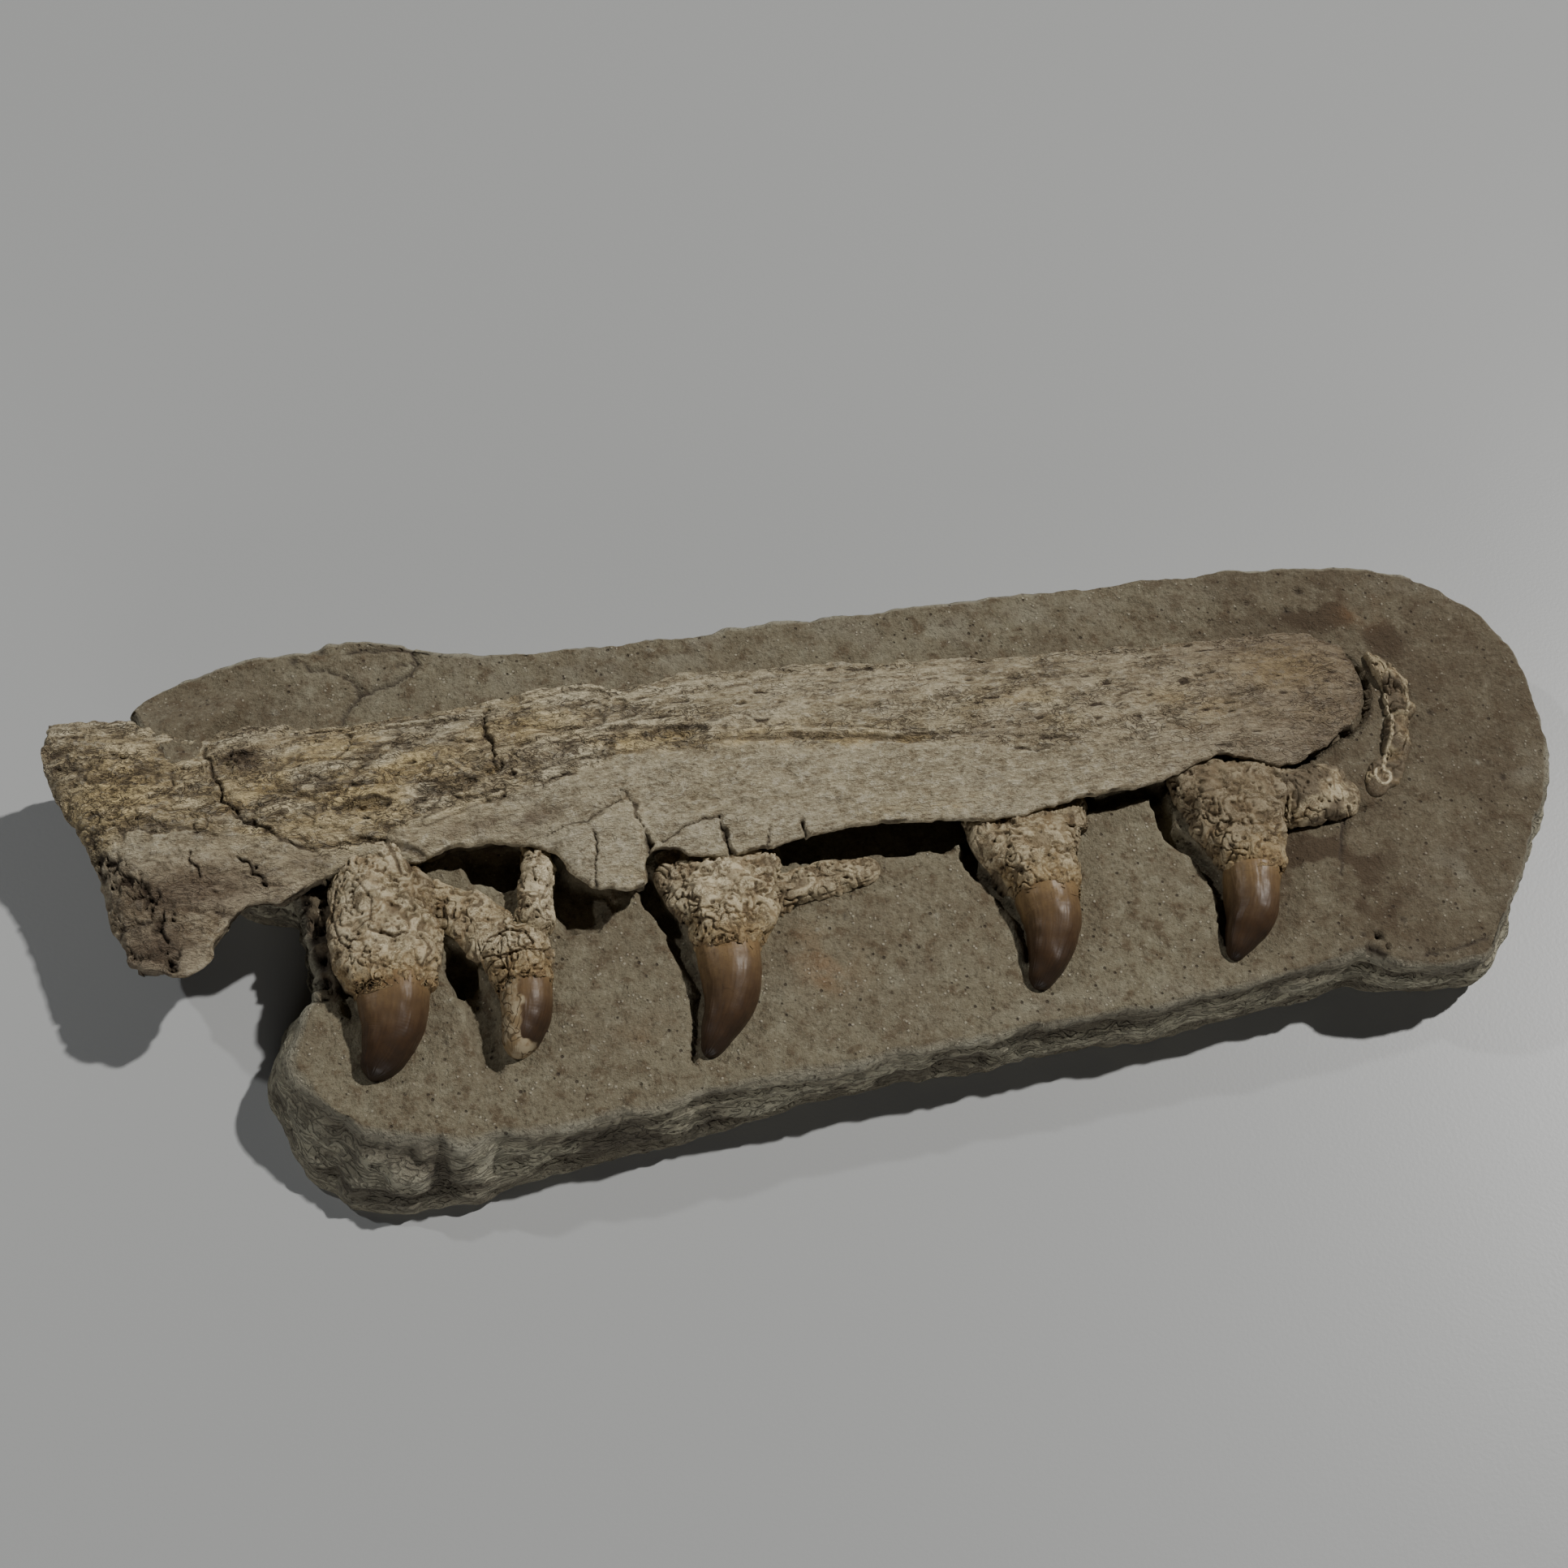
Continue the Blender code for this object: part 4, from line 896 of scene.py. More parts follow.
def paint_root(look):
    """Bone of attachment: winding lumps with a painted highlight and pale stains, painted shade in the
    grooves, pores and winding lines between them, yellower and then amber towards the crown, taking the
    matrix's brown, with painted shade at each root's foot where it meets the slab."""
    paint = Paint("root_bone", 0.8)
    patch = paint.grain(5.0, detail=4.0)
    fine = paint.grain(0.9, detail=4.0, rough=0.65, shift=3.0)
    near = paint.field("near_crown")
    spell = paint.between(paint.grain(6.0, detail=2.0, shift=9.0), 0.42, 0.58)
    web = paint.lines(1.7, 0.08, shift=2.0, bend=1.5) * (1.0 - near * 0.8) * (spell * 0.6 + 0.2)
    collar = paint.mix(paint.between(fine, 0.42, 0.58), (0.33, 0.23, 0.11), (0.15, 0.092, 0.04))
    colour = paint.mix(paint.between(patch, 0.42, 0.60), tint(look.colour), tint(look.second_colour))
    colour = paint.layers(colour, [
        (paint.field("amber") * 0.75, tint(look.amber_colour)),
        # Painted highlight on the lumps, with pale stains
        (paint.field("light") * 0.85, (0.72, 0.62, 0.42)),
        # The fine grain is darker where its bump sinks and lighter where it stands up: painted shade and
        # highlight
        (paint.between(fine, 0.53, 0.66) * 0.6, (0.13, 0.085, 0.045)),
        (paint.between(fine, 0.45, 0.34) * 0.45, (0.62, 0.55, 0.39)),
        # The matrix's brown, and painted shade at each root's foot
        (paint.field("earth"), (0.15, 0.115, 0.07)),
        # Painted shade in the winding lines
        (web * 0.6, (0.13, 0.083, 0.037)),
        # Painted shade in grooves, pores and cracks, and along the roots' left flanks
        (paint.field("cavity") * 0.9, (0.085, 0.053, 0.025)),
        (near, collar),
    ])
    height = (1.0 - fine) + paint.grain(0.45, shift=6.0) * 0.3 - web * 0.6
    return paint.finish(colour, height, 0.9, look.pore_height)


def paint_enamel(look):
    """Tooth enamel: amber at the base, dark brown towards the tip, faintly streaked, with a soft gloss;
    bare bone with cracks where it has broken away."""
    paint = Paint("tooth_enamel", look.roughness)
    paint.shader.inputs["Specular IOR Level"].default_value = 0.22
    along = paint.field("along")
    streak = paint.field("streak")
    bare = paint.field("bare")
    patch = paint.grain(3.5, detail=5.0, rough=0.6, shift=2.0)
    fine = paint.grain(0.8, detail=3.0, shift=4.0)
    reach = along + (patch - 0.5) * 0.5 + (streak - 0.5) * 0.08 + paint.field("edge") * 0.25
    stops = [
        (0.0, tint(look.base_colour)), (0.2, (0.17, 0.107, 0.052)), (0.42, (0.11, 0.067, 0.035)),
        (0.7, (0.065, 0.037, 0.02)), (1.0, tint(look.tip_colour)),
    ]
    colour = paint.node("ShaderNodeValToRGB", {"stops": stops}, {"Fac": reach}, output="Color")
    tarnish = paint.between(fine, 0.55, 0.7) * (1.0 - paint.between(along, 0.1, 0.5)) * 0.5
    crack = paint.lines(4.5, 0.05, shift=6.0, bend=1.0)
    bone = paint.mix(paint.between(patch, 0.4, 0.6), (0.38, 0.31, 0.20), (0.24, 0.17, 0.09))
    # Painted shade in the bare bone's cracks
    bone = paint.mix(crack * 0.8, bone, (0.09, 0.06, 0.03))
    colour = paint.layers(colour, [
        (tarnish, (0.09, 0.055, 0.03)),
        (bare, bone),
        # Painted shade in the enamel's cracks
        (paint.field("cavity"), (0.03, 0.017, 0.01)),
    ])
    roughness = bare * 0.45 + paint.between(patch, 0.4, 0.8) * 0.15 + look.roughness
    height = patch * 0.5 + streak * 0.4 + fine * 0.3 - crack * bare * 2.0
    return paint.finish(colour, height, 0.6, look.streak_height, roughness)


def flat_places(x, y):
    """Places at level 0, where a noise is read for a surface seen from above."""
    return np.stack([x, y, np.zeros(x.shape)], axis=-1)


def bone_height(x, y):
    """Height of the bone's top before its detail: a quarter sine from the back edge up to the crest, then
    the crest less a power of the way on to the front lip."""
    back, front = table(BACK_EDGE, x), table(FRONT_EDGE, x)
    share = np.clip((back - y) / (back - front), 0.0, 1.0)
    rear, crest, lip = table(BACK_HEIGHT, x), table(CREST_HEIGHT, x), table(LIP_HEIGHT, x)
    rise = np.clip((share - SHOULDER_PLACE) / (CREST_PLACE - SHOULDER_PLACE), 0.0, 1.0)
    rising = rear + (crest - rear) * np.sin(0.5 * np.pi * rise)
    ahead = np.clip((share - CREST_PLACE) / (1.0 - CREST_PLACE), 0.0, 1.0)
    return np.where(share < CREST_PLACE, rising, crest - (crest - lip) * ahead**1.8) - FIBRES_SINK


def matrix_top(x, y):
    """Level of the slab's top and its fields of painted shade, brown, orange, and pale stains with painted
    highlight: a gentle swell and grain, less hollows, trenches, cracks and pits, plus grains, the crumbling
    strip beside tooth 1 and the tongue that laps the bone. The painted shade darkens the hollows, trenches,
    cracks, pits and the crumbling strip's dips. All brown at the right end, in patches elsewhere."""
    places = flat_places(x, y)
    level = SLAB_TOP + 0.45 * noise(places, 45.0, 1) + 0.28 * noise(places, 14.0, 2)
    level += 0.2 * noise(places, 3.4, 3, octaves=3)
    wander = 0.7 * noise(places, 5.0, 4, octaves=2)
    # Painted shade, darker in each recess dug below: hollows, trenches, cracks, pits and the crumbling
    # strip's dips
    cavity = np.zeros(x.shape)
    for outline, depth in HOLLOWS.values():
        share = ease(inside_by(x, y, outline) + wander, -0.7, 1.3)
        level -= share * (depth + 0.6 * noise(places, 4.0, 5, octaves=2))
        cavity = np.maximum(cavity, 0.3 * share)
    for rows in TRENCHES.values():
        rows = smooth_path(rows, 4)
        depth, share = dug(x + wander, y + 0.6 * wander, rows, 0.55)
        level -= depth
        cavity = np.maximum(cavity, 0.2 * share)
    for rows in SLAB_CRACKS:
        depth, share = dug(x + 0.5 * wander, y + 0.5 * wander, rows, 0.2)
        level -= depth
        cavity = np.maximum(cavity, share)
    for px, py, radius, depth in SLAB_PITS:
        share = 1.0 - ease(np.hypot(x - px, y - py) / radius + 0.3 * wander, 0.3, 1.0)
        level -= depth * share
        cavity = np.maximum(cavity, 0.9 * share)
    pale = 0.7 * blots(x, y, PALE_STAINS) * ease(noise(places, 7.0, 6, octaves=3), -0.5, 0.6)
    for px, py, radius, height in SLAB_GRAINS:
        share = 1.0 - ease(np.hypot(x - px, y - py) / radius, 0.3, 1.0)
        level += height * share
        pale = np.maximum(pale, share)
    crumb = ease(inside_by(x, y, CRUMB), -3.0, 3.0)
    rough = noise(places, 3.0, 7, octaves=3)
    level += crumb * (2.4 * rough - 1.0)
    cavity = np.maximum(cavity, crumb * ease(-rough, -0.3, 0.5) * 0.9)
    lap = ease(inside_by(x, y, TONGUE) + wander, -1.2, 1.2)
    lift = bone_height(x, np.minimum(y, TONGUE_BONE_EDGE)) + 0.5 - SLAB_TOP
    level += lap * (lift * (1.0 - ease(y, *TONGUE_SLOPE)))
    ragged = ease(noise(places, 9.0, 8, octaves=3), -0.9, 0.5)
    brown = blots(x, y, BROWN_STAINS) * ragged
    brown = np.maximum(brown, 0.7 * crumb)
    brown = np.maximum(brown, 0.75 * ease(x + 8.0 * ragged, 105.0, 155.0) * (0.65 + 0.35 * ragged))
    brown = np.maximum(brown, 0.35 * ease(-x, 150.0, 170.0) * ease(y, 40.0, 60.0))
    orange = blots(x, y, ORANGE_STAINS) * ragged
    return level, np.clip(cavity, 0, 1), brown, orange, pale


class FossilMatrixLook(PropertyGroup):
    """Sizes and colours of the slab."""

    colour: FloatVectorProperty(
        name="Matrix", description="Main colour of the matrix", subtype="COLOR", size=3,
        default=(0.228, 0.198, 0.128), min=0.0, max=1.0,
    )
    second_colour: FloatVectorProperty(
        name="Matrix, second", description="Colour that clouds the matrix", subtype="COLOR", size=3,
        default=(0.19, 0.158, 0.10), min=0.0, max=1.0,
    )
    stain_colour: FloatVectorProperty(
        name="Stain", description="Brown stain round the bone", subtype="COLOR", size=3,
        default=(0.083, 0.056, 0.031), min=0.0, max=1.0,
    )
    grain_height: FloatProperty(
        name="Grain", description="Height of the sand grain's bump, in millimetres", default=0.8,
        min=0.0, max=3.0,
    )
    steps_along: IntProperty(
        name="Steps along", description="Grid steps along the slab", default=400, min=50, max=600,
    )
    steps_across: IntProperty(
        name="Steps across", description="Grid steps across the slab", default=158, min=20, max=240,
    )
    side_steps: IntProperty(
        name="Side steps", description="Rings of points down the side", default=26, min=6, max=60,
    )


class FossilBoneLook(PropertyGroup):
    """Sizes and colours of the jaw bone."""

    colour: FloatVectorProperty(
        name="Bone", description="Main colour of the bone", subtype="COLOR", size=3,
        default=(0.50, 0.42, 0.275), min=0.0, max=1.0,
    )
    second_colour: FloatVectorProperty(
        name="Bone, second", description="Colour that clouds the bone", subtype="COLOR", size=3,
        default=(0.40, 0.33, 0.20), min=0.0, max=1.0,
    )
    gold_colour: FloatVectorProperty(
        name="Ochre", description="Ochre of the porous stretch", subtype="COLOR", size=3,
        default=(0.58, 0.42, 0.18), min=0.0, max=1.0,
    )
    plate_colour: FloatVectorProperty(
        name="Plate", description="Grey of the smooth plate", subtype="COLOR", size=3,
        default=(0.47, 0.415, 0.29), min=0.0, max=1.0,
    )
    fibre_height: FloatProperty(
        name="Fibres", description="Height of the fibres' bump, in millimetres", default=1.0, min=0.0,
        max=3.0,
    )
    steps_along: IntProperty(
        name="Steps along", description="Grid steps along the bone", default=620, min=50, max=700,
    )
    steps_across: IntProperty(
        name="Steps across", description="Grid steps across the bone", default=136, min=20, max=240,
    )


class FossilRootLook(PropertyGroup):
    """Sizes and colours of the roots and the small bones."""

    colour: FloatVectorProperty(
        name="Root", description="Main colour of the roots", subtype="COLOR", size=3,
        default=(0.40, 0.325, 0.19), min=0.0, max=1.0,
    )
    second_colour: FloatVectorProperty(
        name="Root, second", description="Colour that clouds the roots", subtype="COLOR", size=3,
        default=(0.25, 0.175, 0.085), min=0.0, max=1.0,
    )
    amber_colour: FloatVectorProperty(
        name="Amber", description="Colour next to the crown", subtype="COLOR", size=3,
        default=(0.36, 0.245, 0.10), min=0.0, max=1.0,
    )
    pore_height: FloatProperty(
        name="Pores", description="Height of the fine pores' bump, in millimetres", default=0.4,
        min=0.0, max=3.0,
    )
    lump_height: FloatProperty(
        name="Lumps", description="Height of the winding lumps, in millimetres", default=0.7, min=0.0,
        max=2.0,
    )


class FossilEnamelLook(PropertyGroup):
    """Sizes and colours of the crowns."""

    base_colour: FloatVectorProperty(
        name="Base", description="Enamel next to the root", subtype="COLOR", size=3,
        default=(0.255, 0.168, 0.08), min=0.0, max=1.0,
    )
    tip_colour: FloatVectorProperty(
        name="Tip", description="Enamel at the tip", subtype="COLOR", size=3,
        default=(0.035, 0.022, 0.014), min=0.0, max=1.0,
    )
    roughness: FloatProperty(
        name="Roughness", description="Roughness of the enamel", default=0.4, min=0.0, max=1.0,
        subtype="FACTOR",
    )
    streak_height: FloatProperty(
        name="Streaks", description="Height of the streaks' bump, in millimetres", default=0.12,
        min=0.0, max=1.0,
    )


class FossilStageLook(PropertyGroup):
    """Floor and lamps."""

    floor_colour: FloatVectorProperty(
        name="Floor", description="Colour of the floor", subtype="COLOR", size=3,
        default=(0.45, 0.455, 0.45), min=0.0, max=1.0,
    )
    key_power: FloatProperty(
        name="Key lamp", description="Power of the lamp behind and right, in watts", default=226.0,
        min=0.0, max=500.0,
    )
    fill_power: FloatProperty(
        name="Side lamp", description="Power of the lamp behind and left, in watts", default=33.0,
        min=0.0, max=500.0,
    )
    front_power: FloatProperty(
        name="Front lamp", description="Power of the low lamp in front, in watts", default=7.0, min=0.0,
        max=500.0,
    )
    surround: FloatProperty(
        name="Surround", description="Strength of the light from all round", default=0.006, min=0.0,
        max=5.0,
    )


LOOKS = {
    "fossil_matrix": FossilMatrixLook, "fossil_bone": FossilBoneLook, "fossil_root": FossilRootLook,
    "fossil_enamel": FossilEnamelLook, "fossil_stage": FossilStageLook,
}


def slab_side(look, loop, rim, outward, edge_level):
    """Rings of points down the slab's side with their fields: the side's profile, spread at its foot, plus
    broken rock, wrinkles and the corner's lumps, less crevices and the notch. All of these fade out at the
    rim and the foot. The fields hold painted shade in crevices, dents, the notch and the lower side, and a
    painted highlight near the rim and on raised wrinkles."""
    x, y = rim[:, 0], rim[:, 1]
    profile = np.array(SIDE)[::-1]
    corner = blots(x, y, LUMPY_CORNER)
    none = np.zeros(len(rim))
    rings = []
    for step in range(1, look.side_steps + 1):
        depth = (step / look.side_steps) ** 0.9
        height = SLAB_TOP * (1.0 - depth)
        share, reach = (np.interp(height, profile[:, 0], profile[:, i]) for i in (1, 2))
        level = height * edge_level / SLAB_TOP
        spot = np.column_stack([rim, level])
        fade = np.sin(np.pi * depth) ** 0.5
        broken = noise(spot, 9.0, 21, stretch=(1.6, 1.6, 0.8), octaves=4)
        lumps = noise(spot, 13.0, 22, octaves=3)
        crevice = ease(noise(spot, 11.0, 23, stretch=(3.0, 3.0, 0.45), octaves=2), 0.1, 0.5)
        wrinkled = noise(spot, 3.2, 24, stretch=(2.6, 2.6, 0.8), octaves=3)
        notch = np.exp(-(((x - NOTCH_PLACE) / NOTCH_HALF) ** 2)) * (y < -60) * ease(height, 2.0, 8.0)
        rough = broken + 0.5 * wrinkled + 2.4 * corner * lumps - 1.9 * crevice
        out = share * loop[:, 2] + reach + fade * rough - NOTCH_DEPTH * notch * fade
        # Painted shade: darker in crevices, dents, wrinkles and the notch, and on the side's lower part
        # below about 11 mm
        side_shade = 0.9 * crevice + 0.5 * ease(-broken, 0.3, 1.1) + 0.6 * ease(-wrinkled, 0.3, 0.9) + notch
        side_shade += 0.45 * ease(11.0 - height + 3.0 * lumps, 0.0, 3.0)
        side_shade = 0.85 * np.clip(side_shade, 0, 1) * fade
        brown = 0.25 * ease(lumps, 0.2, 0.8)
        # Paler near the rim, a worn rim with a painted highlight, and on the raised wrinkles, a painted
        # highlight; the lumpy corner is paler rock
        pale = 0.7 * ease(height, 21.0, 25.0) + 0.5 * ease(wrinkled, 0.2, 0.9) + 0.5 * corner
        ground = rim + outward * out[:, None]
        rings.append(np.column_stack([ground, level, side_shade, brown, none, pale, none + fade]))
    return rings


class FOSSIL_OT_slab(Operator):
    """Builds the slab of matrix with the hollows and trenches dug round the teeth"""

    bl_idname = "fossil_jaw.slab"
    bl_label = "Matrix slab"

    def execute(self, context):
        look = context.scene.fossil_matrix
        steps = (look.steps_along, look.steps_across)
        loop = rim_loop((RIM_BACK, RIM_FRONT, RIM_LEFT, RIM_RIGHT), *steps)
        outward = outward_of(loop[:, :2])
        wobble = 0.6 * noise(flat_places(loop[:, 0], loop[:, 1]), 8.0, 20, octaves=3) - 0.6
        rim = loop[:, :2] + outward * wobble[:, None]
        plan = plan_inside(rim - outward * RIM_ROUND, *steps)
        level, *fields = matrix_top(plan[..., 0], plan[..., 1])
        top = np.dstack([plan, level, *fields, np.zeros(level.shape)])
        edge_level = top[..., 2].reshape(-1)[edge_loop(*steps)]
        rings = slab_side(look, loop, rim, outward, edge_level)
        material = paint_matrix(look)
        nodes = ["matrix_slab"]
        body_from_sheet("matrix_slab_rock", top, rings, None, MATRIX_FIELDS, material, nodes)
        return {"FINISHED"}


def bone_detail(x, y):
    """Height to add to the bone's top, and its fields of painted shade, gold, plate, painted highlight,
    dark and wild. Wild says how broken the surface is: least on the plate and towards the tip. There are
    lengthwise fibres, a web of short cracks and folds with creases where a bent noise is near nothing,
    slits, then the named grooves, cracks, ridges, nerve openings and sponge. The painted shade darkens the
    web, slits, creases, fibres' troughs, grooves, cracks, a line beside each ridge, the openings and the
    sponge's holes;
    the painted highlight lightens the fibres' tops, the folds away from their creases, the ridges and a
    ring round each opening."""
    places = flat_places(x, y)
    wander = noise(places, 4.0, 30, octaves=2)
    shake = noise(places, 1.5, 43)
    bent = places + np.stack([wander, noise(places, 3.5, 39, octaves=2), wander], axis=-1)
    plate = ease(table(PLATE_EDGE, x) + 1.5 * wander - y, -0.8, 1.2)
    plate = plate * (1.0 - 0.6 * ease(x, 60.0, 130.0)) * (1.0 - blots(x, y, NO_PLATE))
    right = ease(x, -90.0, 30.0)
    wild = (1.0 - 0.75 * plate) * (1.0 - 0.6 * right)
    fibre = noise(places, 1.2, 31, stretch=(7.0, 1.0, 1.0), octaves=3)
    web = noise(bent, 2.4, 32, stretch=(2.2, 1.0, 1.0))
    spell = noise(places, 7.0, 33, stretch=(2.0, 1.0, 1.0), octaves=2)
    web_line = (1.0 - ease(np.abs(web), 0.04, 0.30)) * ease(spell + wild, -0.3, 0.9)
    slit = ease(noise(places, 1.5, 34, stretch=(4.0, 1.0, 1.0), octaves=2), 1.0, 1.35)
    slit = slit * (1.0 - 0.6 * plate)
    rough_corner = blots(x, y, ROUGH_CORNER)
    wild = np.maximum(wild, rough_corner)
    porous = 0.3 + 0.7 * wild
    fold = noise(bent, 5.5, 44, stretch=(2.8, 1.0, 1.0), octaves=2)
    crease = 1.0 - ease(np.abs(fold), 0.0, 0.35)
    height = 0.25 * fibre * porous - 0.45 * web_line * porous - 0.5 * slit
    height += (0.6 * fold - 0.6 * crease) * wild + 0.6 * plate
    height += 0.25 * noise(bent, 6.0, 35, stretch=(2.2, 1.0, 1.0), octaves=2) * (1.0 - wild)
    # Painted shade in the web, the slits, the creases and the fibres' troughs
    cavity = np.maximum(0.45 * web_line * porous, 0.9 * slit)
    cavity = np.maximum(cavity, 0.75 * crease * wild * ease(spell, -0.8, 0.4))
    cavity = np.maximum(cavity, 0.3 * porous * ease(-fibre, 0.6, 1.2))
    # Painted shade in the grooves and cracks below
    for rows in BONE_GROOVES:
        depth, share = dug(x, y + 0.4 * wander, smooth_path(rows, 4), 0.2)
        height -= depth
        cavity = np.maximum(cavity, 0.55 * share)
    for rows in BONE_CRACKS:
        depth, share = dug(x + 0.9 * wander + 0.4 * shake, y + 0.7 * wander + 0.4 * shake, rows, 0.2)
        height -= depth
        cavity = np.maximum(cavity, 0.85 * share)
    light = np.zeros(x.shape)
    # Each ridge gets a painted highlight on it and a painted shadow line beside it
    for rows in BONE_RIDGES:
        gap, extra = near_line(x, y + 0.3 * wander, smooth_path(rows, 4))
        ratio = gap / extra[..., 0]
        share = 1.0 - ease(ratio, 0.2, 1.0)
        height += share * extra[..., 1]
        cavity = np.maximum(cavity * (1.0 - share), 0.65 * np.exp(-(((ratio - 1.35) / 0.3) ** 2)))
        light = np.maximum(light, 0.75 * share)
    ragged = ease(noise(places, 9.0, 37, stretch=(2.5, 1.0, 1.0), octaves=3), -1.0, 0.4)
    gold = blots(x, y, GOLD_STAINS) * ragged
    # Painted shade inside each opening, darker towards its back, a dark painted ring at its edge and a
    # painted highlight ring just outside it
    for px, py, long, wide, depth in FORAMINA:
        away = np.hypot((x - px) / long, (y - py) / wide) + 0.1 * wander
        bowl = np.clip(1.0 - away**2, 0.0, 1.0)
        height -= depth * bowl**0.6
        cavity = np.where(away < 0.9, 0.25 + 0.25 * ease(y - py, -1.0, 1.0), cavity)
        cavity = np.maximum(cavity, 0.8 * np.exp(-(((away - 0.95) / 0.12) ** 2)))
        gold = np.maximum(gold, bowl)
        light = np.maximum(light, 0.7 * np.exp(-(((away - 1.2) / 0.15) ** 2)))
    # Painted shade in the sponge's holes
    gap, extra = near_line(x + wander, y + wander, BREAK)
    sponge = np.maximum(1.0 - ease(gap / extra[..., 0], 0.4, 1.0), blots(x, y, SPONGE_SPOTS))
    holes = ease(noise(bent, 1.9, 36, octaves=3), -0.2, 0.6)
    height -= sponge * 1.7 * holes
    cavity = np.maximum(cavity, sponge * (0.25 + 0.75 * holes))
    # Dark stains, with painted shade along the rear end's broken left edge
    dark = blots(x, y, DARK_STAINS) * ease(noise(places, 5.0, 38, octaves=3), -0.9, 0.4)
    cavity = np.clip(cavity, 0.0, 1.0)
    # Painted highlight on the fibres' tops and on the folds away from their creases
    light = np.maximum(light, 0.6 * ease(fibre, 0.4, 1.1) * porous)
    light = np.clip(np.maximum(light, ease(np.abs(fold), 0.4, 0.9) * wild), 0.0, 1.0)
    dark = np.maximum(np.maximum(dark, 1.1 * rough_corner), 0.85 * ease(x, 60.0, 175.0))
    return height, cavity, gold, plate, light * (1 - cavity), 0.75 * dark, wild


def bone_side(rim_rows, rim, outward, base):
    """Rings of points down a jaw bone's side from its lip to its base, cut back below the front lip, with
    painted shade in its dents, carried down from the top's, and under the lip.
    """
    toward_front = ease(-outward[:, 1], 0.1, 0.6)
    under = table(UNDERCUT, rim[:, 0]) * toward_front
    rings = []
    for share, reach, hidden in LIP:
        z = rim_rows[:, 2] + (base - rim_rows[:, 2]) * share
        broken = noise(np.column_stack([rim, z]), 3.0, 41, stretch=(2.5, 2.5, 1.0), octaves=3)
        out = reach + 0.45 * broken * (1.0 if share < 1 else 0.4) - under * hidden
        side_shade = np.maximum(0.4 * rim_rows[:, 3], ease(-broken, 0.3, 1.0) * 0.7)
        ring = rim_rows.copy()
        ring[:, :2] = rim + outward * out[:, None]
        ring[:, 2] = z
        # Painted shade in the side's dents and under the front lip where it is cut back, with the top's
        # painted shade carried down
        ring[:, 3] = np.clip(side_shade + 0.5 * hidden * toward_front, 0, 1)
        rings.append(ring)
    return rings


def build_bone(name, edges, steps, under_flat, nodes, look):
    """A jaw bone's body: its top sheet in four ragged plan edges, its side, and a flat base in the slab or
    an underside that hangs free. The old fracture stays a clean line, so both bodies meet there."""
    loop = rim_loop(edges, *steps)
    outward = outward_of(loop)
    from_fracture, _ = near_line(loop[:, 0], loop[:, 1], FRACTURE)
    ragged = 0.55 * noise(flat_places(loop[:, 0], loop[:, 1]), 5.0, 40, octaves=3) - 0.5
    ragged = ragged * ease(from_fracture, 0.5, 3.0)
    rim = loop + outward * ragged[:, None]
    plan = plan_inside(rim, *steps)
    x, y = plan[..., 0], plan[..., 1]
    height, *fields = bone_detail(x, y)
    top = np.dstack([plan, bone_height(x, y) + height, *fields])
    rim_rows = top.reshape(-1, top.shape[2])[edge_loop(*steps)]
    if under_flat:
        base, under = np.full(len(rim), BED - BASE_SINK), None
    else:
        base, under = table(UNDERSIDE, rim[:, 0]), top.copy()
        middle = 0.5 * (plan[:, :1] + plan[:, -1:])
        under[..., :2] = middle + (plan - middle) * UNDERSIDE_INSET
        level = table(UNDERSIDE, x) + 0.5 * noise(flat_places(x, y), 6.0, 42, octaves=3)
        under[..., 2] = np.maximum(level, UNDERSIDE_LOWEST)
    rings = bone_side(rim_rows, rim, outward, base)
    return body_from_sheet(name, top, rings, under, BONE_FIELDS, paint_bone(look), nodes)


class FOSSIL_OT_jaw_bone(Operator):
    """Builds the main jaw bone from the old fracture to its rounded tip"""

    bl_idname = "fossil_jaw.jaw_bone"
    bl_label = "Jaw bone"

    def execute(self, context):
        look = context.scene.fossil_bone
        back = [FRACTURE[0]] + [row for row in BACK_EDGE if -180 < row[0] < JAW_TIP[0][0]] + [JAW_TIP[0]]
        front = [FRACTURE[-1]] + [row for row in FRONT_EDGE if -150 < row[0] < JAW_TIP[-1][0]]
        front += [JAW_TIP[-1]]
        edges = (back, front, FRACTURE, JAW_TIP)
        build_bone("dentary_bone", edges, (look.steps_along, look.steps_across), True, ["dentary"], look)
        return {"FINISHED"}


class FOSSIL_OT_rear_end(Operator):
    """Builds the broken rear end of the jaw bone, which overhangs the slab"""

    bl_idname = "fossil_jaw.rear_end"
    bl_label = "Rear end"

    def execute(self, context):
        look = context.scene.fossil_bone
        back = [REAR_CORNER] + [row for row in BACK_EDGE if -230 < row[0] < -187] + [FRACTURE[0]]
        front = [FRONT_CORNER] + [row for row in FRONT_EDGE if -208 < row[0] < -155] + [FRACTURE[-1]]
        edges = (back, front, REAR_END, FRACTURE)
        steps = (look.steps_along // 4, look.steps_across)
        build_bone("dentary_rear_bone", edges, steps, False, ["dentary_rear_end"], look)
        return {"FINISHED"}


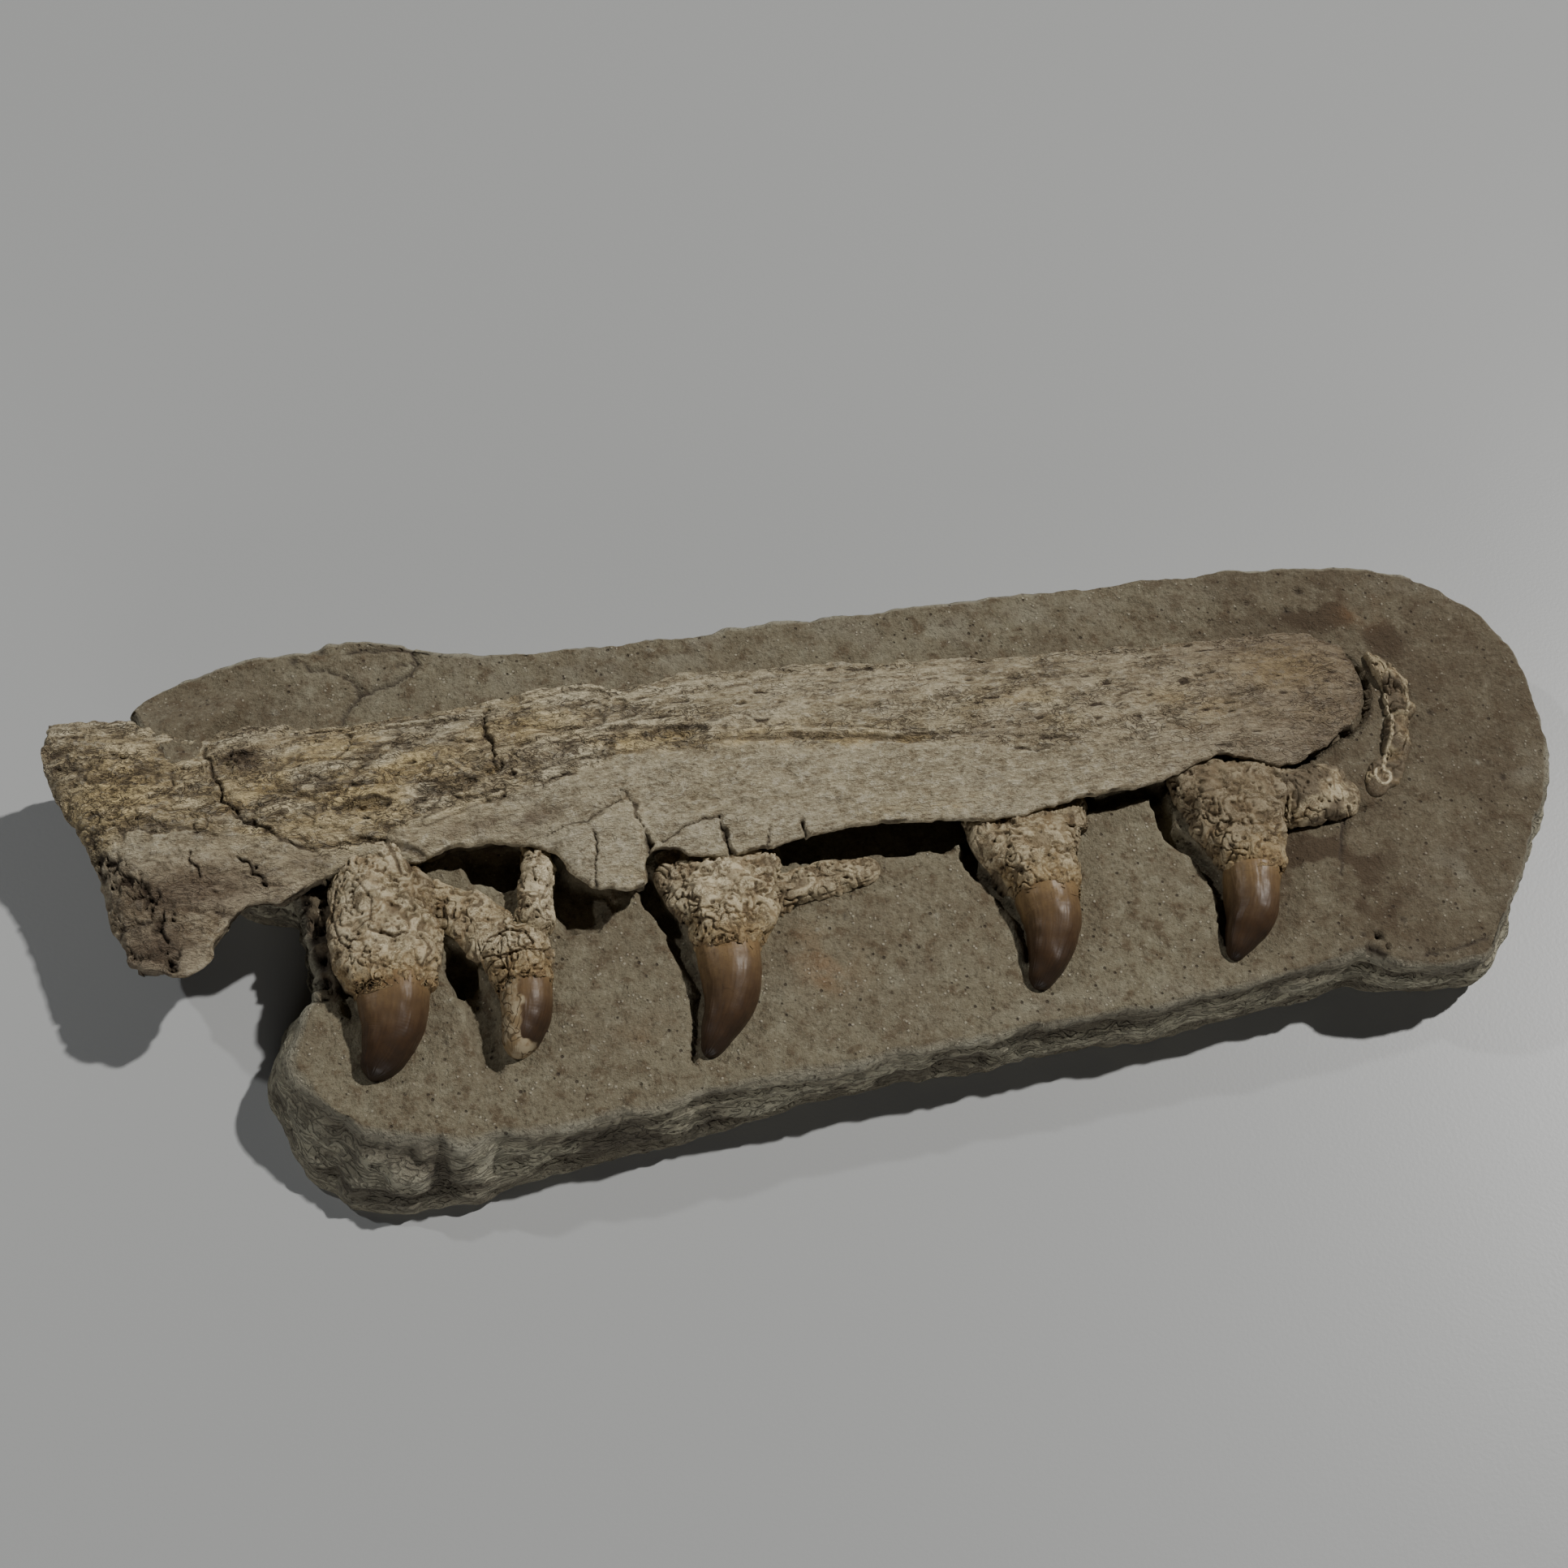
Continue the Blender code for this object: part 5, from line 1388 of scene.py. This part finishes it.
def dome_tube(rows, rings, points, round_end=False):
    """Rings across a centre line of (x, y, half width, height): the upper part of each is a dome that rises
    from its foot as sin^0.8 of the angle, the rest a straight wall down into the slab. With round_end the
    last stretch shrinks as the square root of 1 - t^2."""
    path = resample(rows, rings)
    direction = np.gradient(path[:, :2], axis=0)
    direction /= np.linalg.norm(direction, axis=1)[:, None]
    half, height = path[:, 2].copy(), path[:, 3].copy()
    if round_end:
        steps = np.concatenate([[0.0], np.cumsum(np.hypot(*np.diff(path[:, :2], axis=0).T))])
        reach = rows[-1][2]
        t = np.clip((steps - steps[-1] + reach) / reach, 0.0, 0.995)
        half *= np.sqrt(1 - t * t)
        height *= np.sqrt(1 - t * t) * 0.7 + 0.3
    angle = np.linspace(0.0, np.pi, points)[None]
    across = half[:, None] * np.cos(angle)
    rise = DOME_FOOT + (1 - DOME_FOOT) * np.sin(angle) ** 0.8
    level = BED + height[:, None] * rise
    wall = np.array([(-0.97, 0.6), (-0.95, 0.0), (0.95, 0.0), (0.97, 0.6)])
    across = np.hstack([across, half[:, None] * wall[:, 0]])
    low = FLOOR_OF_SOCKETS + (BED - FLOOR_OF_SOCKETS) * wall[:, 1]
    level = np.hstack([level, np.broadcast_to(low, (rings, len(wall)))])
    x = path[:, :1] - direction[:, 1:] * across
    y = path[:, 1:2] + direction[:, :1] * across
    return np.dstack([x, y, level])


def along_normal(tube, amount):
    """The tube with each point moved out along the surface's normal, the cross product of its two grid
    directions."""
    along = np.gradient(tube, axis=0)
    around = np.roll(tube, -1, axis=1) - np.roll(tube, 1, axis=1)
    normal = np.cross(around, along)
    normal /= np.maximum(np.linalg.norm(normal, axis=2)[..., None], 1e-9)
    middle = tube.mean(axis=1, keepdims=True)
    if np.sum(normal * (tube - middle)) < 0:
        normal = -normal
    return tube + normal * amount[..., None]


def bony_tube(rows, rings, points, lump, seed, round_end=False):
    """A dome tube of bone of attachment, with its fields of painted shade and painted highlight: winding
    lumps parted by grooves, which run where a noise, its places bent by another, is near nothing. Broad
    lumps, ridges where a broad noise is near nothing, and fine pores are added. All fade out at the tube's
    two ends.
    The painted shade darkens the grooves and pores; the painted highlight lightens the lumps and the broad
    bulges."""
    tube = dome_tube(rows, rings, points, round_end=round_end)
    shift = np.stack([noise(tube, 4.5, seed + i, octaves=2) for i in range(3)], axis=-1)
    winding = noise(tube + 1.8 * shift, 2.5, seed + 4)
    spell = ease(noise(tube, 9.0, seed + 5, octaves=2), -0.9, 0.3)
    groove = (1.0 - ease(np.abs(winding), 0.08, 0.42)) * (0.4 + 0.6 * spell)
    pore = ease(noise(tube, 1.7, seed + 6, octaves=2), 0.75, 1.2)
    broad = noise(tube, 8.0, seed + 7, octaves=3)
    facet = 1.0 - np.abs(noise(tube + shift, 11.0, seed + 8, octaves=2))
    place = np.linspace(0.0, 1.0, rings)[:, None]
    fade = ease(place, 0.0, 0.04) * ease(1.0 - place, 0.0, 0.15)
    relief = -0.5 + 1.2 * broad + 1.2 * facet - 1.3 * groove - 0.9 * pore
    body = along_normal(tube, fade * lump * relief)
    # Painted shade in the grooves and pores, and painted highlight on the lumps and broad bulges
    cavity = np.clip(np.maximum(0.8 * groove, pore) - 0.1, 0.0, 1.0)
    light = np.clip(ease(np.abs(winding), 0.35, 0.9) * 0.7 + 0.4 * ease(broad, 0.0, 0.9), 0.0, 1.0)
    return body, cavity, light


class FOSSIL_OT_roots(Operator):
    """Builds the five tooth roots of lumpy bone, from the crowns up under the jaw bone"""

    bl_idname = "fossil_jaw.roots"
    bl_label = "Tooth roots"

    def execute(self, context):
        look = context.scene.fossil_root
        material = paint_root(look)
        for number, rows in ROOTS.items():
            body, cavity, light = bony_tube(rows, *ROOT_GRID, look.lump_height, 50 + 10 * number)
            x, y = body[..., 0], body[..., 1]
            from_end = y - rows[0][1]
            body = along_normal(body, -1.1 * (1.0 - ease(from_end, 0.0, 5.0)))
            speckle = noise(body, 2.2, 91, octaves=3)
            near_crown = 1.0 - ease(from_end + 2.5 * speckle, 0.0, 7.5)
            yellow = 1.0 - ease(from_end + 3.0 * speckle, 4.0, 19.0)
            amber = np.maximum(blots(x, y, AMBER_STAINS), 0.85 * yellow)
            # Painted highlight on the lumps, with pale stains
            light = np.clip(0.75 * light + blots(x, y, PALE_BONE), 0.0, 1.0) * (1.0 - 0.5 * yellow)
            # Painted shade: the darker blots lie along the roots' left flanks and where they meet the next
            # bone
            cavity = np.maximum(cavity, 0.6 * blots(x, y, ROOT_SHADE_AND_BROWN)) * (1.0 - 0.6 * near_crown)
            # Painted shade in the cracks
            for line in ROOT_CRACKS:
                depth, share = dug(x, y, line, 0.3)
                body[..., 2] -= depth
                cavity = np.maximum(cavity, 0.9 * share)
            # The matrix's brown on the roots towards the jaw's tip, and painted shade low at each root's
            # foot where it meets the slab
            earth = 0.45 * ease(x, 20.0, 120.0) * ease(from_end + 3.0 * speckle, 4.0, 20.0)
            low = ease(SLAB_TOP + 5.0 - body[..., 2] + 2.0 * speckle, 0.0, 4.0)
            earth = np.maximum(earth, 0.75 * low * (1.0 - near_crown))
            tube = np.dstack([body, cavity, amber, light, near_crown, earth])
            node = f"tooth_{number}_root"
            body_from_tube(f"{node}_bone", tube, ROOT_FIELDS, material, [node])
        return {"FINISHED"}


class FOSSIL_OT_small_bones(Operator):
    """Builds the smaller bones that lie between the teeth and beyond the jaw's tip"""

    bl_idname = "fossil_jaw.small_bones"
    bl_label = "Small bones"

    def execute(self, context):
        look = context.scene.fossil_root
        material = paint_root(look)
        for order, (name, rows) in enumerate(SMALL_BONES.items()):
            seed = 120 + 10 * order
            body, cavity, light = bony_tube(rows, *SMALL_BONE_GRID, look.lump_height, seed, True)
            x, y = body[..., 0], body[..., 1]
            speckle = noise(body, 2.2, 93, octaves=3)
            amber = blots(x, y, AMBER_STAINS)
            # Painted highlight on the lumps, with pale stains
            light = np.clip(0.5 * light + blots(x, y, PALE_BONE), 0.0, 1.0)
            earth = EARTH[name] * ease(noise(body, 6.0, 92, octaves=3), 0.9, -0.5)
            if name == "tip_fragment":
                for line in TIP_RIDGES:
                    gap, extra = near_line(x + 0.3 * speckle, y + 0.3 * speckle, smooth_path(line, 4))
                    share = 1.0 - ease(gap / extra[..., 0], 0.3, 1.2)
                    body[..., 2] += share * extra[..., 1]
                    # Painted highlight with pale bone on each ridge
                    light = np.maximum(0.6 * light, share)
                    earth = earth * (1.0 - share)
                    cavity = cavity * (1.0 - share)
            tube = np.dstack([body, cavity, amber, light, np.zeros(cavity.shape), earth])
            body_from_tube(f"{name}_bone", tube, ROOT_FIELDS, material, [name])
        return {"FINISHED"}


class FOSSIL_OT_crowns(Operator):
    """Builds the five tooth crowns, smooth curved cones of brown enamel"""

    bl_idname = "fossil_jaw.crowns"
    bl_label = "Tooth crowns"

    def execute(self, context):
        look = context.scene.fossil_enamel
        material = paint_enamel(look)
        for number, line in CROWNS.items():
            rows = [(x, y, half, half * CROWN_HEIGHT) for x, y, half in line]
            tube = dome_tube(rows, *CROWN_GRID, round_end=True)
            count = tube.shape[:2]
            along = np.broadcast_to(np.linspace(0, 1, count[0])[:, None], count)
            around = np.broadcast_to(np.linspace(0, 1, count[1])[None], count)
            spots = np.dstack([around * 40.0, along * 6.0, np.full(count, number * 5.0)])
            streak = 0.5 + 0.5 * noise(spots, 1.0, 95, octaves=3)
            body = along_normal(tube, 0.04 * (streak - 0.5) + 0.25 * noise(tube, 7.0, 96, octaves=2))
            edge = ease(around, 0.55, 0.1) * ease(along, 0.0, 0.6)
            crack = ease(np.abs(noise(tube, 6.0, 97 + number, octaves=2)), 0.05, 0.0)
            crack = crack * ease(noise(tube, 9.0, 98), 0.3, 0.7)
            bare = np.zeros(count)
            if number == BARE_CROWN:
                x, y = body[..., 0], body[..., 1]
                past_edge = BARE_EDGE[0] - x + BARE_LEAN * (y - BARE_EDGE[1])
                left = ease(past_edge + 0.8 * noise(tube, 3.0, 99, octaves=2), -0.4, 0.6)
                blunt = ease(BARE_TIP[1] - y + 0.8 * noise(tube, 3.0, 99), -0.4, 0.6)
                bare = np.maximum(left, blunt * ease(BARE_TIP[0] - x, -2, 2))
            # The enamel's cracks carry painted shade
            tube = np.dstack([body, along, streak, bare, 0.5 * crack, edge])
            node = f"tooth_{number}_crown"
            body_from_tube(f"{node}_enamel", tube, CROWN_FIELDS, material, [node])
        return {"FINISHED"}


def aim_camera():
    """The camera's matrix: its right, up and back directions from the view's turn and tilt, and its eye."""
    turn, tilt = math.radians(CAMERA_TURN), math.radians(CAMERA_TILT)
    right = Vector((math.cos(turn), math.sin(turn), 0.0))
    ahead = Vector((-math.sin(turn), math.cos(turn), 0.0)) * math.cos(tilt) - Vector((0, 0, math.sin(tilt)))
    up = right.cross(ahead)
    place = Matrix((right, up, -ahead)).transposed().to_4x4()
    place.translation = Vector(EYE) * MM
    return place


def lamp(name, place, size, colour, power):
    """A square area lamp at place, turned to the origin, its place and size in millimetres."""
    data = bpy.data.lights.new(name, "AREA")
    data.size = size * MM
    data.energy = power
    data.color = colour
    made = bpy.data.objects.new(name, data)
    made.location = Vector(place) * MM
    made.rotation_euler = (-Vector(place)).to_track_quat("-Z", "Y").to_euler()
    bpy.context.scene.collection.objects.link(made)


class FOSSIL_OT_stage(Operator):
    """Builds the pale floor, the camera and the lamps"""

    bl_idname = "fossil_jaw.stage"
    bl_label = "Floor, camera and lamps"

    def execute(self, context):
        look = context.scene.fossil_stage
        half = FLOOR_HALF * MM
        corners = [(-half, -half, 0.0), (half, -half, 0.0), (half, half, 0.0), (-half, half, 0.0)]
        mesh = bpy.data.meshes.new("floor")
        mesh.from_pydata(corners, [], [(0, 1, 2, 3)])
        floor = bpy.data.objects.new("floor", mesh)
        paint = Paint("floor_paint", 0.38)
        shade = paint.between(paint.grain(260.0, detail=1.0), 0.3, 0.7)
        colour = paint.mix(shade * 0.12, tint(look.floor_colour), (0.5, 0.5, 0.5))
        mesh.materials.append(paint.finish(colour, paint.grain(1.2, detail=2.0), 0.15, 0.2))
        context.scene.collection.objects.link(floor)
        camera = bpy.data.objects.new("camera", bpy.data.cameras.new("camera"))
        camera.data.sensor_fit = "HORIZONTAL"
        camera.data.angle = math.radians(FIELD_OF_VIEW)
        camera.data.clip_start = 0.01
        camera.matrix_world = aim_camera()
        context.scene.collection.objects.link(camera)
        context.scene.camera = camera
        for name, (place, size, colour, power) in LAMPS.items():
            lamp(name, place, size, colour, getattr(look, power))
        world = bpy.data.worlds.new("surround")
        world.use_nodes = True
        background = world.node_tree.nodes["Background"]
        background.inputs["Color"].default_value = (*SURROUND_COLOUR, 1.0)
        background.inputs["Strength"].default_value = look.surround
        context.scene.world = world
        return {"FINISHED"}


OPERATORS = (
    FOSSIL_OT_stage, FOSSIL_OT_slab, FOSSIL_OT_jaw_bone, FOSSIL_OT_rear_end, FOSSIL_OT_roots,
    FOSSIL_OT_small_bones, FOSSIL_OT_crowns,
)


class FOSSIL_PT_panel(Panel):
    """Lists the pieces of the fossil jaw"""

    bl_label = "Fossil jaw"
    bl_idname = "FOSSIL_PT_panel"
    bl_space_type = "VIEW_3D"
    bl_region_type = "UI"
    bl_category = "Fossil jaw"

    def draw(self, context):
        for operator in OPERATORS:
            self.layout.operator(operator.bl_idname)
        for key in LOOKS:
            box = self.layout.box()
            look = getattr(context.scene, key)
            for field in look.__annotations__:
                box.prop(look, field)


def register():
    for key, look in LOOKS.items():
        bpy.utils.register_class(look)
        setattr(bpy.types.Scene, key, PointerProperty(type=look))
    for operator in OPERATORS:
        bpy.utils.register_class(operator)
    bpy.utils.register_class(FOSSIL_PT_panel)


def unregister():
    bpy.utils.unregister_class(FOSSIL_PT_panel)
    for operator in reversed(OPERATORS):
        bpy.utils.unregister_class(operator)
    for key, look in LOOKS.items():
        delattr(bpy.types.Scene, key)
        bpy.utils.unregister_class(look)


def main():
    """Builds the stage and every piece."""
    register()
    bpy.ops.fossil_jaw.stage()
    bpy.ops.fossil_jaw.slab()
    bpy.ops.fossil_jaw.jaw_bone()
    bpy.ops.fossil_jaw.rear_end()
    bpy.ops.fossil_jaw.roots()
    bpy.ops.fossil_jaw.small_bones()
    bpy.ops.fossil_jaw.crowns()


if __name__ == "__main__":
    main()
